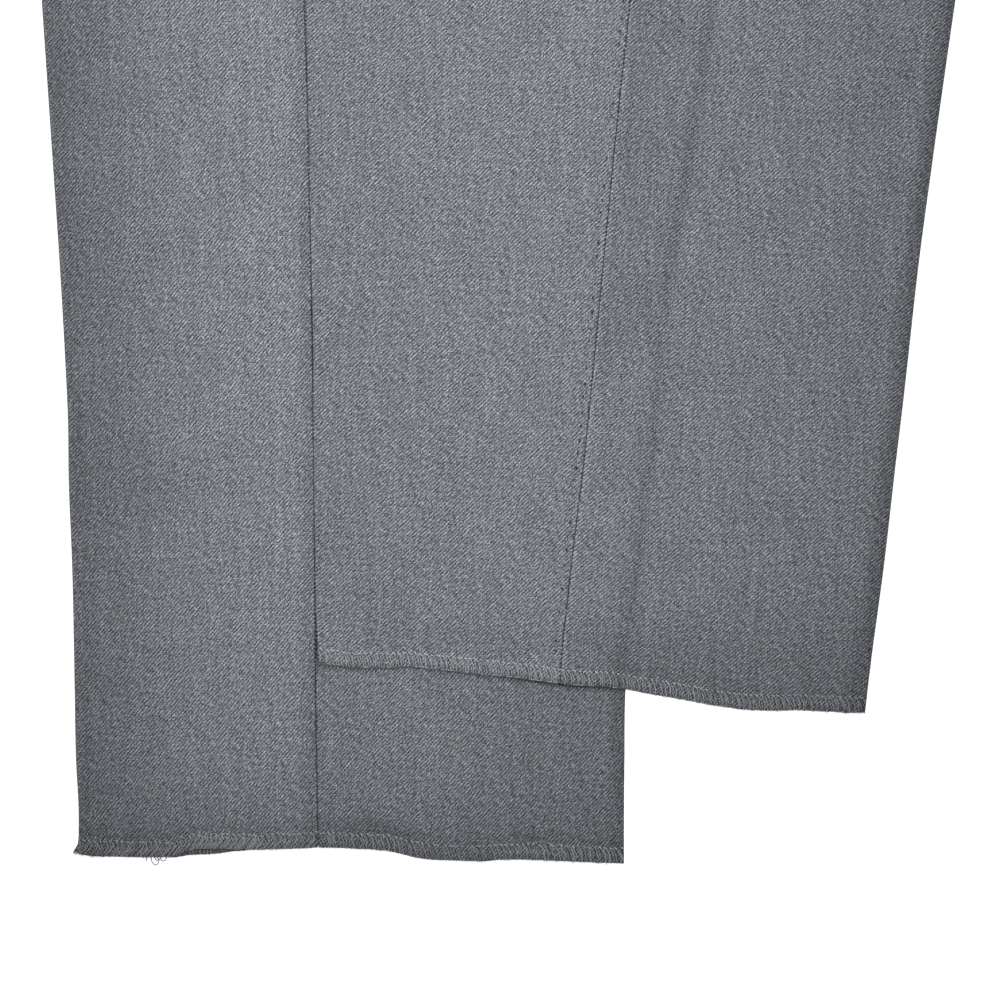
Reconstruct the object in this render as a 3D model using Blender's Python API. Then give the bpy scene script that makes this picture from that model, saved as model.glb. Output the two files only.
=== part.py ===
"""Pleated dress trousers laid flat in three-quarter view, unhemmed, the left leg on the right one."""

import bpy
import bmesh
import numpy as np
from collections import namedtuple

mm = 0.001                      # sizes below are in millimetres
cloth = 1.2                     # wall of a trouser panel
seam_gap = 0.3                  # between pieces that are sewn or lie together
layer_gap = 0.5                 # between the two legs, and under the fly
fork_gap = 1.0                  # between the fronts where the left one turns over its fold
edge_air = 0.7                  # air inside a leg beside its folds
leg_air = 1.8                   # air inside a leg away from its folds
body_air = 3.0                  # air between front and back above the crotch
loft_width = 70.0               # distance from a fold over which the air grows
drape_width = 12.0              # run of the upper leg down off the lower leg's edge
top_drape = (8.0, 26.0)         # the same on the upper face: from before the edge to past it
crotch_height = 880.0
front_fork_top = 925.0          # where the front crotch seam comes round the upper leg's fold
seat_fork_top = 980.0           # where the seat seam comes round the lower leg's fold
fork_blend = 45.0               # height over which the upper face sinks to the body's level
waist_seam = 1118.0             # the panels' top edge, at the left of the lay
waist_tilt = 0.122              # rise of the waist per unit of width, left to right
tilt_start = 800.0
waistband_height = 40.0
waistband_wall = 1.8
tab_length = 38.0               # left waistband past the centre front, over the right one
tab_lift = 2.3
tab_slope = 8.0                 # the left waistband's climb onto the right one
fly_lap = 6.0                   # the fly over the centre front seam
fly_width = 36.0
fly_length = 165.0
fly_wall = 1.0
button_radius = 8.5
button_wall = 2.6
button_rim = 0.9
button_hole = 0.9
button_hole_ring = 2.2
button_inset = 14.0             # from the tab's end
button_sides = 36
hole_sides = 12
side_fade = 14.0                # the upper face's folds end this far from a leg's side
shown_fade = 20.0               # the lower leg's folds end this far before the upper leg
turning_reach = 30.0            # height over which the fronts part where the left one turns over
opening_reach = 20.0            # the left front and right back open flat over this height
opening_out = 20.0              # and their folds move this far out of the way
settle_height = 60.0            # height over which a leg's air grows to the body's
waist_top = 1160.0              # the side lines hold no values above it
back_break = 30.0               # distances from a fold where a section needs one more point
front_break = 20.0
band_break = 40.0
least_step = 0.35               # between two points of a section
least_ridge = 9.0               # the right pleat's line stays this far from the fold
fly_curve = 0.3                 # share of the fly's length that curves in at its foot
fly_least = 7.0                 # width of the fly at its foot

# Lower leg, the wearer's right: heights up the lay, its two folds, the inseam on its upper
# face and the outseam on its underside. Over seat_fork_top its right column is the centre back.
LowerLeg = namedtuple("LowerLeg", "height left right inseam outseam")
lower_leg = [
    LowerLeg(0.0, -108.6, 109.4, -12.8, -12.0),
    LowerLeg(17.0, -108.5, 109.4, -13.0, -12.0),
    LowerLeg(41.0, -109.6, 109.6, -13.4, -12.0),
    LowerLeg(69.0, -110.1, 110.0, -13.8, -12.0),
    LowerLeg(121.0, -111.2, 115.7, -14.2, -11.5),
    LowerLeg(153.0, -112.5, 119.8, -14.5, -11.2),
    LowerLeg(177.0, -112.8, 122.5, -14.8, -11.0),
    LowerLeg(201.0, -113.9, 125.0, -15.1, -10.8),
    LowerLeg(233.0, -115.7, 128.5, -15.6, -10.5),
    LowerLeg(285.0, -119.2, 137.2, -16.6, -10.0),
    LowerLeg(345.0, -123.3, 146.0, -18.3, -9.0),
    LowerLeg(450.0, -130.8, 161.0, -19.5, -7.0),
    LowerLeg(600.0, -142.0, 182.0, -14.0, -4.0),
    LowerLeg(750.0, -154.0, 201.0, 0.0, 0.0),
    LowerLeg(880.0, -164.0, 215.0, 20.0, 2.0),
    LowerLeg(980.0, -165.0, 219.0, 20.0, 3.0),
    LowerLeg(1060.0, -150.0, 221.0, 20.0, 4.0),
    LowerLeg(1160.0, -115.0, 225.0, 20.0, 5.0),
]

# Upper leg, the wearer's left: its two folds, the outseam on its upper face and the inseam
# below. Over front_fork_top its left column is the centre front.
UpperLeg = namedtuple("UpperLeg", "height left right outseam inseam")
upper_leg = [
    UpperLeg(60.0, -11.8, 206.0, 84.0, 84.0),
    UpperLeg(78.0, -12.7, 208.1, 85.0, 85.0),
    UpperLeg(121.0, -13.3, 213.8, 88.8, 87.0),
    UpperLeg(161.0, -13.9, 218.4, 93.6, 89.0),
    UpperLeg(185.0, -14.1, 221.3, 96.0, 89.6),
    UpperLeg(201.0, -14.2, 223.1, 97.6, 90.0),
    UpperLeg(241.0, -15.0, 227.6, 101.4, 91.0),
    UpperLeg(281.0, -15.9, 233.0, 105.3, 91.5),
    UpperLeg(345.0, -17.3, 242.1, 112.1, 92.0),
    UpperLeg(450.0, -21.2, 258.0, 124.2, 86.0),
    UpperLeg(600.0, -26.5, 280.0, 141.0, 68.0),
    UpperLeg(750.0, -32.0, 300.0, 157.0, 44.0),
    UpperLeg(880.0, -35.0, 317.0, 171.0, 20.0),
    UpperLeg(980.0, -33.0, 328.0, 180.0, 20.0),
    UpperLeg(1060.0, -28.0, 326.0, 186.0, 20.0),
    UpperLeg(1160.0, -20.0, 312.0, 190.0, 20.0),
]

# The crotch seam from the crotch point: to the front it rises to the left, to the seat to the
# right. Each row is a height and the seam's place across the lay.
Fork = namedtuple("Fork", "height across")
front_fork = [Fork(crotch_height, 20), Fork(885, 2), Fork(895, -14), Fork(908, -26), Fork(front_fork_top, -34)]
seat_fork = [Fork(crotch_height, 20), Fork(888, 86), Fork(902, 138), Fork(924, 180), Fork(950, 205),
             Fork(seat_fork_top, 218)]

# Raw hem edges: place across the lay, height of the cut edge.
HemPoint = namedtuple("HemPoint", "across height")
lower_hem = [
    HemPoint(-110, 4.0), HemPoint(-97, 2.6), HemPoint(-82, 2.1), HemPoint(-64, 4.2), HemPoint(-45, 5.2),
    HemPoint(-24, 6.0), HemPoint(0, 5.6), HemPoint(14, 4.8), HemPoint(30, 1.4), HemPoint(54, 0.6),
    HemPoint(84, 0.7), HemPoint(110, 0.0),
]
upper_hem = [
    HemPoint(-13, 80.4), HemPoint(0, 78.4), HemPoint(23, 78.4), HemPoint(49, 75.8), HemPoint(75, 72.8),
    HemPoint(102, 70.4), HemPoint(119, 67.6), HemPoint(138, 64.2), HemPoint(155, 61.6), HemPoint(180, 60.8),
    HemPoint(206, 60.0),
]
hem_fade = 60.0                 # height over which the rows lose the hem's wave

# Pleats that open towards the side: place at the waist, way the fold faces, its step there,
# length down the front and place at its foot. The right front shows one by the body's fold.
Pleat = namedtuple("Pleat", "across faces step length foot")
left_pleats = [
    Pleat(112.0, 1.0, 2.0, 130.0, 104.0),
    Pleat(68.0, 1.0, 2.4, 210.0, 56.0),
]
right_pleats = [Pleat(-90.0, -1.0, 2.0, 170.0, -104.0)]
pleat_back = 32.0               # width over which a pleat's raised side falls away
pleat_front = 3.0               # width of its steep side

# The largest soft folds of the upper face: two ends, half width and height.
Fold = namedtuple("Fold", "x0 y0 x1 y1 half_width rise")
soft_folds = [
    Fold(-8.0, 90.0, 6.0, 210.0, 7.0, 0.5),
    Fold(40.0, 840.0, 150.0, 760.0, 22.0, 2.4),
    Fold(20.0, 800.0, 110.0, 690.0, 18.0, 1.8),
    Fold(-20.0, 960.0, 60.0, 930.0, 20.0, 1.6),
    Fold(210.0, 900.0, 290.0, 840.0, 24.0, 2.0),
    Fold(-120.0, 930.0, -50.0, 880.0, 20.0, 1.6),
]

leg_rows = [0, 8, 20, 45, 85, 130, 180, 235, 290, 345, 410, 480, 550, 620, 690, 755, 810, 850]
fork_rows = [880, 885, 891, 899, 908, 916, 925, 936, 950, 965, 980, 1000, 1030, 1065, 1095]
upper_hem_row = 60.0


def clear_scene():
    for thing in list(bpy.data.objects):
        bpy.data.objects.remove(thing, do_unlink=True)


def smoothstep(value):
    t = np.clip(value, 0.0, 1.0)
    return t * t * (3.0 - 2.0 * t)


def read(table, column, key, at):
    """The column's value at a height, on a smooth curve through the table's rows."""
    xs = np.array([getattr(row, key) for row in table], float)
    ys = np.array([getattr(row, column) for row in table], float)
    slopes = np.gradient(ys, xs)
    at = np.clip(at, xs[0], xs[-1])
    i = np.clip(np.searchsorted(xs, at, side="right") - 1, 0, len(xs) - 2)
    span = xs[i + 1] - xs[i]
    t = (at - xs[i]) / span
    h00 = 2 * t**3 - 3 * t**2 + 1
    h10 = t**3 - 2 * t**2 + t
    h01 = -2 * t**3 + 3 * t**2
    h11 = t**3 - t**2
    return h00 * ys[i] + h10 * span * slopes[i] + h01 * ys[i + 1] + h11 * span * slopes[i + 1]


def lower(column, height):
    return read(lower_leg, column, "height", height)


def upper(column, height):
    return read(upper_leg, column, "height", height)


def fork_place(table, height):
    """Where the crotch seam lies across the lay at a height."""
    return np.interp(height, [row.height for row in table], [row.across for row in table])


def fork_height(across):
    """Height of the crotch seam below which a leg's inner layers lie, across the lay."""
    rows = front_fork[::-1] + seat_fork[1:]
    return np.interp(across, [row.across for row in rows], [row.height for row in rows])


def loft(across, left, right, most):
    """Air between two layers: edge_air at a fold, most at loft_width and more from it."""
    inside = np.minimum(across - left, right - across)
    return edge_air + (most - edge_air) * smoothstep(inside / loft_width)


def soft_relief(across, height):
    """Rounded ridges of the soft folds, each with tapered ends."""
    total = 0.0 * across
    for fold in soft_folds:
        run = np.array([fold.x1 - fold.x0, fold.y1 - fold.y0])
        length = np.hypot(*run)
        along = ((across - fold.x0) * run[0] + (height - fold.y0) * run[1]) / length**2
        aside = ((across - fold.x0) * run[1] - (height - fold.y0) * run[0]) / length
        taper = smoothstep(along / 0.3 + 0.5) * smoothstep((1.0 - along) / 0.3 + 0.5)
        total = total + fold.rise * taper * np.exp(-(aside / fold.half_width) ** 2)
    return total


def pleat_line(pleat, height):
    """Share of a pleat's length that lies above a height, and the pleat's place across the lay."""
    below = (waist_seam - height) / pleat.length
    return below, pleat.across + (pleat.foot - pleat.across) * below


def pleat_relief(across, height):
    """Each pleat: steep on the side it faces, falling away behind, sunk out at its foot."""
    total = 0.0 * across
    for pleat in left_pleats + right_pleats:
        below, line = pleat_line(pleat, height)
        ahead = (across - line) * pleat.faces
        face = smoothstep((pleat_front - ahead) / pleat_front)
        back = smoothstep((ahead + pleat_back) / pleat_back)
        total = total + pleat.step * face * back * smoothstep(1.15 - below)
    return total


def floor_layer(across, height):
    """Middle of the wall that lies on the floor."""
    return 0.0 * across + cloth / 2


def right_plain(across, height):
    """Middle of the right leg's upper wall without folds: over the crotch it is the body's front."""
    air = leg_air + (body_air - leg_air) * smoothstep((height - front_fork_top) / settle_height)
    return cloth * 1.5 + loft(across, lower("left", height), lower("right", height), air)


def right_inner(across, height):
    """The same wall with its folds and its pleat, where the left leg doesn't cover it."""
    left = lower("left", height)
    shown = smoothstep((upper("left", height) - across) / shown_fade) * smoothstep((across - left) / side_fade)
    lift = pleat_relief(across, height) + soft_relief(across, height)
    return right_plain(across, height) + lift * shown


def left_inner(across, height):
    """Middle of the left leg's lower wall: on the right leg, and down on the floor beside it."""
    edge = lower("right", height)
    on_leg = right_plain(across, height) + cloth + layer_gap
    down = smoothstep((across - edge) / drape_width)
    gone = smoothstep((height - seat_fork_top) / turning_reach)
    return on_leg + (cloth / 2 - on_leg) * np.maximum(down, gone)


def top_layer(across, height):
    """Middle of the left leg's upper wall, which over the crotch sinks to the body's level."""
    left = upper("left", height)
    right = upper("right", height)
    edge = lower("right", np.minimum(height, seat_fork_top))
    on_leg = cloth * 2.5 + leg_air + layer_gap
    down = smoothstep((across - edge + top_drape[0]) / (top_drape[0] + top_drape[1]))
    under = on_leg + (cloth / 2 - on_leg) * down
    open_left = smoothstep((height - front_fork_top) / opening_reach)
    left_fold = left - 2 * loft_width * open_left
    in_leg = under + cloth + loft(across, left_fold, right, leg_air)
    air = loft(across, left_fold, right, body_air)
    in_body = cloth * 1.5 + air
    past = smoothstep((height - fork_height(across)) / fork_blend)
    edge_fade = smoothstep((right - across) / side_fade) * smoothstep((across - left_fold) / side_fade)
    lift = pleat_relief(across, height) + soft_relief(across, height)
    return in_leg + (in_body - in_leg) * past + lift * edge_fade


def spread(marks, counts, least):
    """Distances along a section, evenly spaced between marks that stay at least so far apart."""
    end = marks[-1]
    room = [least * sum(counts[k:]) for k in range(len(counts))]
    kept = [marks[0]] + [min(mark, end - left) for mark, left in zip(marks[1:-1], room[1:])] + [end]
    steps = [np.linspace(kept[k], kept[k + 1], n, endpoint=False) for k, n in enumerate(counts)]
    return np.concatenate(steps + [[end]])


def folded_section(height, start, fold, run_out, run_back, length, breaks, counts, early=()):
    """Middle line of a panel across the lay: out from its start, round its fold and back.

    fold is the outermost point of the fold, run_out and run_back give the two layers' heights,
    length is the whole width along the section, breaks are distances from the fold where the
    layer that runs back needs more points, and early are such distances from the start."""
    way = np.sign(fold - start)
    probe = np.array([fold - way * edge_air])
    z_out = float(run_out(probe, height)[0])
    z_back = float(run_back(probe, height)[0])
    radius = abs(z_out - z_back) / 2
    turn = fold - way * radius
    straight = abs(turn - start)
    arc = np.pi * radius
    marks = [0.0, *early, straight, straight + arc] + [straight + arc + b for b in breaks] + [length]
    s = spread(marks, counts, least_step)
    angle = np.clip((s - straight) / radius, 0.0, np.pi)
    back = np.maximum(s - straight - arc, 0.0)
    x = start + way * (np.minimum(s, straight) + radius * np.sin(angle)) - way * back
    middle = (z_out + z_back) / 2
    z_arc = middle + (z_out - z_back) / 2 * np.cos(angle)
    z = np.where(s <= straight, run_out(x, height), np.where(back > 0, run_back(x, height), z_arc))
    return x, z


def offset_section(x, z, wall):
    """The two faces of a wall: its middle line moved half a wall to each side."""
    dx = np.gradient(x)
    dz = np.gradient(z)
    size = np.hypot(dx, dz)
    nx, nz = dz / size, -dx / size
    half = wall / 2
    return (x + nx * half, z + nz * half), (x - nx * half, z - nz * half)


def row_height(across, height, hem, hem_row):
    """Height up the lay of a row's points: it follows the hem at the bottom and the waist at the top."""
    places = [point.across for point in hem]
    wave = np.interp(across, places, [point.height for point in hem]) - hem_row
    low = smoothstep(1.0 - (height - hem_row) / hem_fade)
    high = smoothstep((height - tilt_start) / (waist_seam - tilt_start))
    return height + wave * low + waist_tilt * (across - lower_leg[-1].left) * high


def panel_mesh(sections, wall, hem, hem_row):
    """A wall on a grid: faces on both sides, closed along its four edges."""
    front, back = [], []
    for height, x, z in sections:
        outer, inner = offset_section(x, z, wall)
        front.append(np.column_stack([outer[0], row_height(outer[0], height, hem, hem_row), outer[1]]))
        back.append(np.column_stack([inner[0], row_height(inner[0], height, hem, hem_row), inner[1]]))
    front, back = np.array(front), np.array(back)
    rows, columns = front.shape[:2]
    points = np.concatenate([front.reshape(-1, 3), back.reshape(-1, 3)])
    index = np.arange(rows * columns).reshape(rows, columns)
    under = index + rows * columns
    faces = []
    for grid, flip in ((index, False), (under, True)):
        quads = np.stack([grid[:-1, :-1], grid[:-1, 1:], grid[1:, 1:], grid[1:, :-1]], axis=-1)
        quads = quads.reshape(-1, 4)
        faces.extend((quads[:, ::-1] if flip else quads).tolist())
    rim = np.concatenate([index[0, :], index[1:, -1], index[-1, -2::-1], index[-2:0:-1, 0]])
    rim_under = rim + rows * columns
    ahead = np.roll(rim, -1)
    ahead_under = np.roll(rim_under, -1)
    faces.extend(np.column_stack([rim, rim_under, ahead_under, ahead]).tolist())
    return points, faces


def add_piece(name, points, faces, material):
    """A closed mesh object whose faces point out, from points in millimetres."""
    mesh = bpy.data.meshes.new(name)
    mesh.from_pydata((np.asarray(points) * mm).tolist(), [], faces)
    shape = bmesh.new()
    shape.from_mesh(mesh)
    bmesh.ops.recalc_face_normals(shape, faces=shape.faces)
    bmesh.ops.triangulate(shape, faces=shape.faces)
    shape.to_mesh(mesh)
    shape.free()
    mesh.materials.append(material)
    piece = bpy.data.objects.new(name, mesh)
    bpy.context.scene.collection.objects.link(piece)
    return piece


def make_material(name, colour, roughness, metallic=0.0):
    material = bpy.data.materials.new(name)
    material.use_nodes = True
    shader = material.node_tree.nodes["Principled BSDF"]
    shader.inputs["Base Color"].default_value = (*colour, 1.0)
    shader.inputs["Roughness"].default_value = roughness
    shader.inputs["Metallic"].default_value = metallic
    return material


def panel_rows(hem_row):
    return [hem_row] + [h for h in leg_rows if h > hem_row] + fork_rows + [waist_seam]


def back_run(height, fold, seam, fork, edge):
    """Length of the layer that runs back from a fold: to the inseam, the crotch seam or an edge."""
    if height <= crotch_height:
        return abs(seam - fold)
    return abs((fork_place(fork, height) if height < fork[-1].height else edge) - fold)


def right_front_section(height):
    fold = lower("left", height)
    start = lower("outseam", height) - seam_gap / 2
    turning = smoothstep(1.0 - abs(height - front_fork_top) / turning_reach)
    gap = seam_gap / 2 + fork_gap * turning
    run = back_run(height, fold, lower("inseam", height), front_fork, upper("left", height)) - gap
    length = abs(fold - start) + run + edge_air
    ridge = max(pleat_line(right_pleats[0], height)[1] - fold, least_ridge)
    breaks = [ridge - pleat_front, ridge]
    return folded_section(height, start, fold, floor_layer, right_inner, length, breaks, [4, 5, 2, 1, 8])


def right_back_section(height):
    over = max(height - seat_fork_top, 0.0)
    centre = lower("right", height)
    fold = centre + opening_out * smoothstep(over / opening_reach)
    start = lower("outseam", height) + seam_gap / 2
    if over:
        length = centre - start - seam_gap / 2
    else:
        run = back_run(height, fold, lower("inseam", height), seat_fork, fold)
        length = abs(fold - start) + run + edge_air - seam_gap / 2
    return folded_section(height, start, fold, floor_layer, right_inner, length, [back_break], [6, 5, 2, 7])


def left_front_section(height):
    over = max(height - front_fork_top, 0.0)
    centre = upper("left", height)
    fold = centre - opening_out * smoothstep(over / opening_reach)
    start = upper("outseam", height) - seam_gap / 2
    if over:
        length = start - centre - seam_gap / 2
    else:
        run = back_run(height, fold, upper("inseam", height), front_fork, fold)
        length = abs(fold - start) + run + edge_air - seam_gap / 2
    early = []
    for pleat in left_pleats:
        ridge = start - pleat_line(pleat, height)[1]
        early.extend([ridge - pleat_front, ridge])
    counts = [4, 1, 3, 1, 6, 5, 2, 4]
    return folded_section(height, start, fold, top_layer, left_inner, length, [front_break], counts, early)


def left_back_section(height):
    fold = upper("right", height)
    start = upper("outseam", height) + seam_gap / 2
    edge = lower("right", height)
    run = back_run(height, fold, upper("inseam", height), seat_fork, edge) - seam_gap / 2
    length = abs(fold - start) + run + edge_air
    breaks = [fold - edge - drape_width, fold - edge]
    return folded_section(height, start, fold, top_layer, left_inner, length, breaks, [11, 5, 3, 5, 5])


def make_panels(material):
    for name, section, hem, hem_row in (
        ("right_front", right_front_section, lower_hem, 0.0),
        ("right_back", right_back_section, lower_hem, 0.0),
        ("left_front", left_front_section, upper_hem, upper_hem_row),
        ("left_back", left_back_section, upper_hem, upper_hem_row),
    ):
        sections = [(height, *section(height)) for height in panel_rows(hem_row)]
        add_piece(name, *panel_mesh(sections, cloth, hem, hem_row), material)


def waistband_section(height, side):
    """A waistband half: from its centre-front end round the side fold to the centre back."""
    place = min(height, waist_top)
    centre_front = upper("left", place)
    centre_back = lower("right", place)
    lift = (waistband_wall - cloth) / 2

    def top(across, at):
        step = tab_lift * smoothstep((centre_front + tab_slope - across) / tab_slope)
        return body_level(across, at) + lift + (step if side > 0 else 0.0)

    def bottom(across, at):
        return 0.0 * across + waistband_wall / 2

    if side > 0:
        start = centre_front - tab_length
        fold = upper("right", place) + lift
        length = fold - start + fold - centre_back - seam_gap / 2
        counts = [3, 5, 11, 5, 4, 4]
        early = [tab_length, tab_length + tab_slope]
    else:
        start = centre_front - seam_gap / 2
        fold = lower("left", place) - lift
        length = start - fold + centre_back - fold - seam_gap / 2
        counts = [8, 5, 6, 8]
        early = []
    return folded_section(height, start, fold, top, bottom, length, [band_break], counts, early)


def body_level(across, height):
    """Middle of the body's upper wall at the waist, with no pleats or folds."""
    place = min(height, waist_top)
    air = loft(across, lower("left", place), upper("right", place), body_air)
    return cloth * 1.5 + air


def make_waistband(material):
    heights = [waist_seam + seam_gap, waist_seam + waistband_height / 2, waist_seam + waistband_height]
    for name, side in (("waistband_left", 1), ("waistband_right", -1)):
        sections = [(height, *waistband_section(height, side)) for height in heights]
        add_piece(name, *panel_mesh(sections, waistband_wall, lower_hem, 0.0), material)


def make_fly(material):
    """The fly's lap: a strip over the centre-front seam whose free side curves in at its foot."""
    sections = []
    for along in np.concatenate([[0.0, 0.03, 0.08, 0.15, 0.22, 0.3], np.linspace(0.42, 1.0, 7)]):
        height = waist_seam - seam_gap - fly_length * (1.0 - along)
        centre = upper("left", height)
        bend = 1.0 - min(along / fly_curve, 1.0)
        width = max(fly_lap + fly_width * np.sqrt(1.0 - bend**2), fly_least)
        x = np.linspace(centre - fly_lap, centre - fly_lap + width, 8)
        face = np.maximum(top_layer(x, height), right_inner(x, height))
        z = face + cloth / 2 + layer_gap + fly_wall / 2
        sections.append((height, x, z))
    add_piece("fly", *panel_mesh(sections, fly_wall, lower_hem, 0.0), material)


def make_button(material):
    """A four-hole button on the tab of the left waistband."""
    height = waist_seam + waistband_height / 2
    across = upper("left", waist_top) - tab_length + button_inset
    level = float(body_level(np.array([across]), height)[0]) + (waistband_wall - cloth) / 2 + tab_lift
    seat = level + waistband_wall / 2 + seam_gap
    up = float(row_height(np.array([across]), height, lower_hem, 0.0)[0])
    bpy.ops.mesh.primitive_cylinder_add(
        vertices=button_sides, radius=button_radius * mm, depth=button_wall * mm,
        location=(across * mm, up * mm, (seat + button_wall / 2) * mm))
    button = bpy.context.object
    button.name = "waist_button"
    button.data.materials.append(material)
    bevel = button.modifiers.new("rim", "BEVEL")
    bevel.width = button_rim * mm
    bevel.segments = 2
    for turn in range(4):
        angle = np.pi / 4 + turn * np.pi / 2
        bpy.ops.mesh.primitive_cylinder_add(
            vertices=hole_sides, radius=button_hole * mm, depth=3 * button_wall * mm,
            location=((across + button_hole_ring * np.cos(angle)) * mm,
                      (up + button_hole_ring * np.sin(angle)) * mm,
                      (seat + button_wall / 2) * mm))
        cutter = bpy.context.object
        cutter.name = f"button_hole_{turn}"
        cutter.hide_render = True
        cutter.display_type = "WIRE"
        cut = button.modifiers.new(f"hole_{turn}", "BOOLEAN")
        cut.operation = "DIFFERENCE"
        cut.object = cutter


def centre_on_origin():
    """Moves every piece so that the garment's box stands on the origin by the middle of its floor."""
    bpy.context.view_layer.update()
    solids = [thing for thing in bpy.data.objects if thing.type == "MESH" and not thing.hide_render]
    corners = np.array([thing.matrix_world @ vertex.co for thing in solids for vertex in thing.data.vertices])
    low, high = corners.min(axis=0), corners.max(axis=0)
    for thing in bpy.data.objects:
        thing.location.x -= (low[0] + high[0]) / 2
        thing.location.y -= (low[1] + high[1]) / 2


def main():
    clear_scene()
    wool = make_material("grey_twill", (0.19, 0.20, 0.22), 0.9)
    horn = make_material("button_grey", (0.06, 0.065, 0.075), 0.35)
    make_panels(wool)
    make_waistband(wool)
    make_fly(wool)
    make_button(horn)
    centre_on_origin()


main()
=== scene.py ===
import bpy
import numpy as np
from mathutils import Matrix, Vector


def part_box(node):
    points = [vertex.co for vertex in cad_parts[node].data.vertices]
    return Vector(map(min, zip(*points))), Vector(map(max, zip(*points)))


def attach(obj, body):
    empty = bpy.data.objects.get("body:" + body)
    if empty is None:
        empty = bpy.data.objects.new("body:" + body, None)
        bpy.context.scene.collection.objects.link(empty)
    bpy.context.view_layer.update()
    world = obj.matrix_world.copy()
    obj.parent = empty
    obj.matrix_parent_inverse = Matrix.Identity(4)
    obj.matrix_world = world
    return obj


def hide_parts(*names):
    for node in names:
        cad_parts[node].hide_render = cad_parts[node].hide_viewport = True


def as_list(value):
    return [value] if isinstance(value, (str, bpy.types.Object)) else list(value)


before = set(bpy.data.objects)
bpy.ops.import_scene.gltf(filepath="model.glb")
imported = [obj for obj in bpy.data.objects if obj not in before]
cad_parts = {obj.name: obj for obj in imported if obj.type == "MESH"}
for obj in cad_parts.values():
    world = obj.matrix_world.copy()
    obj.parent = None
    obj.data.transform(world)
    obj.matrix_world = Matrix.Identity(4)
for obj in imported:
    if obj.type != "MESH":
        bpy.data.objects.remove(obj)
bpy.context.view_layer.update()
print("frame loaded:", len(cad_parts), "nodes")

# Sizes are in millimetres on the lay: across it from the lower leg's middle, and up it from the
# lower hem to the waist. They become metres in the frame when a mesh is made.
mm = 0.001

cloth = {
    "wall": 0.6,
    "layerGap": 0.12,      # between the two legs
    "seamGap": 0.26,       # slit left between two sewn panels
    "forkGap": 0.9,        # between the fronts where the left one turns over its fold
    "edgeAir": 0.12,       # air in a leg at its pressed folds
    "legAir": 3.0,
    "bodyAir": 4.2,
    "bodyRun": 60.0,       # way up over which the leg's air becomes the body's
    "loftWidth": 70.0,     # distance from a fold over which the air grows
    "hemPress": 0.16,      # share of the air left at a hem
    "hemPressRun": 30.0,
    "rollWidth": 0.5,      # the panels' edges roll down into a seam
    "rollDepth": 0.18,
    "hemLift": 0.3,        # a hem's sewing holds it off what it lies on
    "hemLiftRun": 8.0,
    "hemCurl": 0.42,       # the cut edge curls down
    "hemCurlRun": 2.4,
    "seamDrop": 1.7,       # the back panel falls away beside the thick outseam
    "seamDropRun": 15.0,
    "seamDropUp": (130.0, 90.0),  # height where that begins, and the way up over which it grows
}
# A fold's air rises by the first number, over about the second: rounded, softly pressed or sharp.
creases = {"round": (2.5, 3.2), "soft": (2.4, 10.0), "sharp": (0.2, 0.6)}

# Lower leg, the wearer's right: its folds, the inseam on its upper face, the outseam below.
lowerLeg = {
    "height": [0, 17, 41, 69, 121, 153, 177, 201, 233, 285, 345, 450, 600, 750, 880, 980, 1060, 1160],
    "left": [-108.6, -108.5, -109.6, -110.1, -111.2, -112.5, -112.8, -113.9, -115.7, -119.2, -123.3,
             -130.8, -142, -154, -164, -165, -150, -115],
    "right": [109.4, 109.4, 109.6, 110, 115.7, 119.8, 122.5, 125, 128.5, 137.2, 146, 161, 182, 201, 215,
              219, 221, 225],
    "inseam": [-12.8, -13, -13.4, -13.8, -14.2, -14.5, -14.8, -15.1, -15.6, -16.6, -18.3, -19.5, -14, 0,
               20, 20, 20, 20],
    "outseam": [-12, -12, -12, -12, -11.5, -11.2, -11, -10.8, -10.5, -10, -9, -7, -4, 0, 2, 3, 4, 5],
}
# Upper leg, the wearer's left: its folds, the outseam on its upper face and the inseam below.
upperLeg = {
    "height": [60, 78, 121, 161, 185, 201, 241, 281, 345, 450, 600, 750, 880, 980, 1060, 1160],
    "left": [-12.2, -13.1, -13.7, -14.3, -14.5, -14.5, -15.3, -16.2, -17.5, -21.4, -26.6, -32, -35, -33,
             -28, -20],
    "right": [206, 208.1, 213.8, 218.4, 221.3, 223.1, 227.6, 233, 242.1, 258, 280, 300, 317, 328, 326,
              312],
    "outseam": [84, 85, 88.8, 93.6, 96, 97.6, 101.4, 105.3, 112.1, 124.2, 141, 157, 171, 180, 186, 190],
    "inseam": [84, 85, 87, 89, 89.6, 90, 91, 91.5, 92, 86, 68, 44, 20, 20, 20, 20],
}
frontFork = {"height": [880, 885, 895, 908, 925], "across": [20, 2, -14, -26, -34]}
seatFork = {"height": [880, 888, 902, 924, 950, 980], "across": [20, 86, 138, 180, 205, 218]}

garment = {
    "crotch": 880.0, "frontForkTop": 925.0, "seatForkTop": 980.0, "forkBlend": 45.0,
    "waistSeam": 1118.0, "waistTilt": 0.122, "tiltStart": 800.0, "waistTop": 1160.0,
    "upperHemRow": 60.0, "hemFade": 60.0,
}

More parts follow.
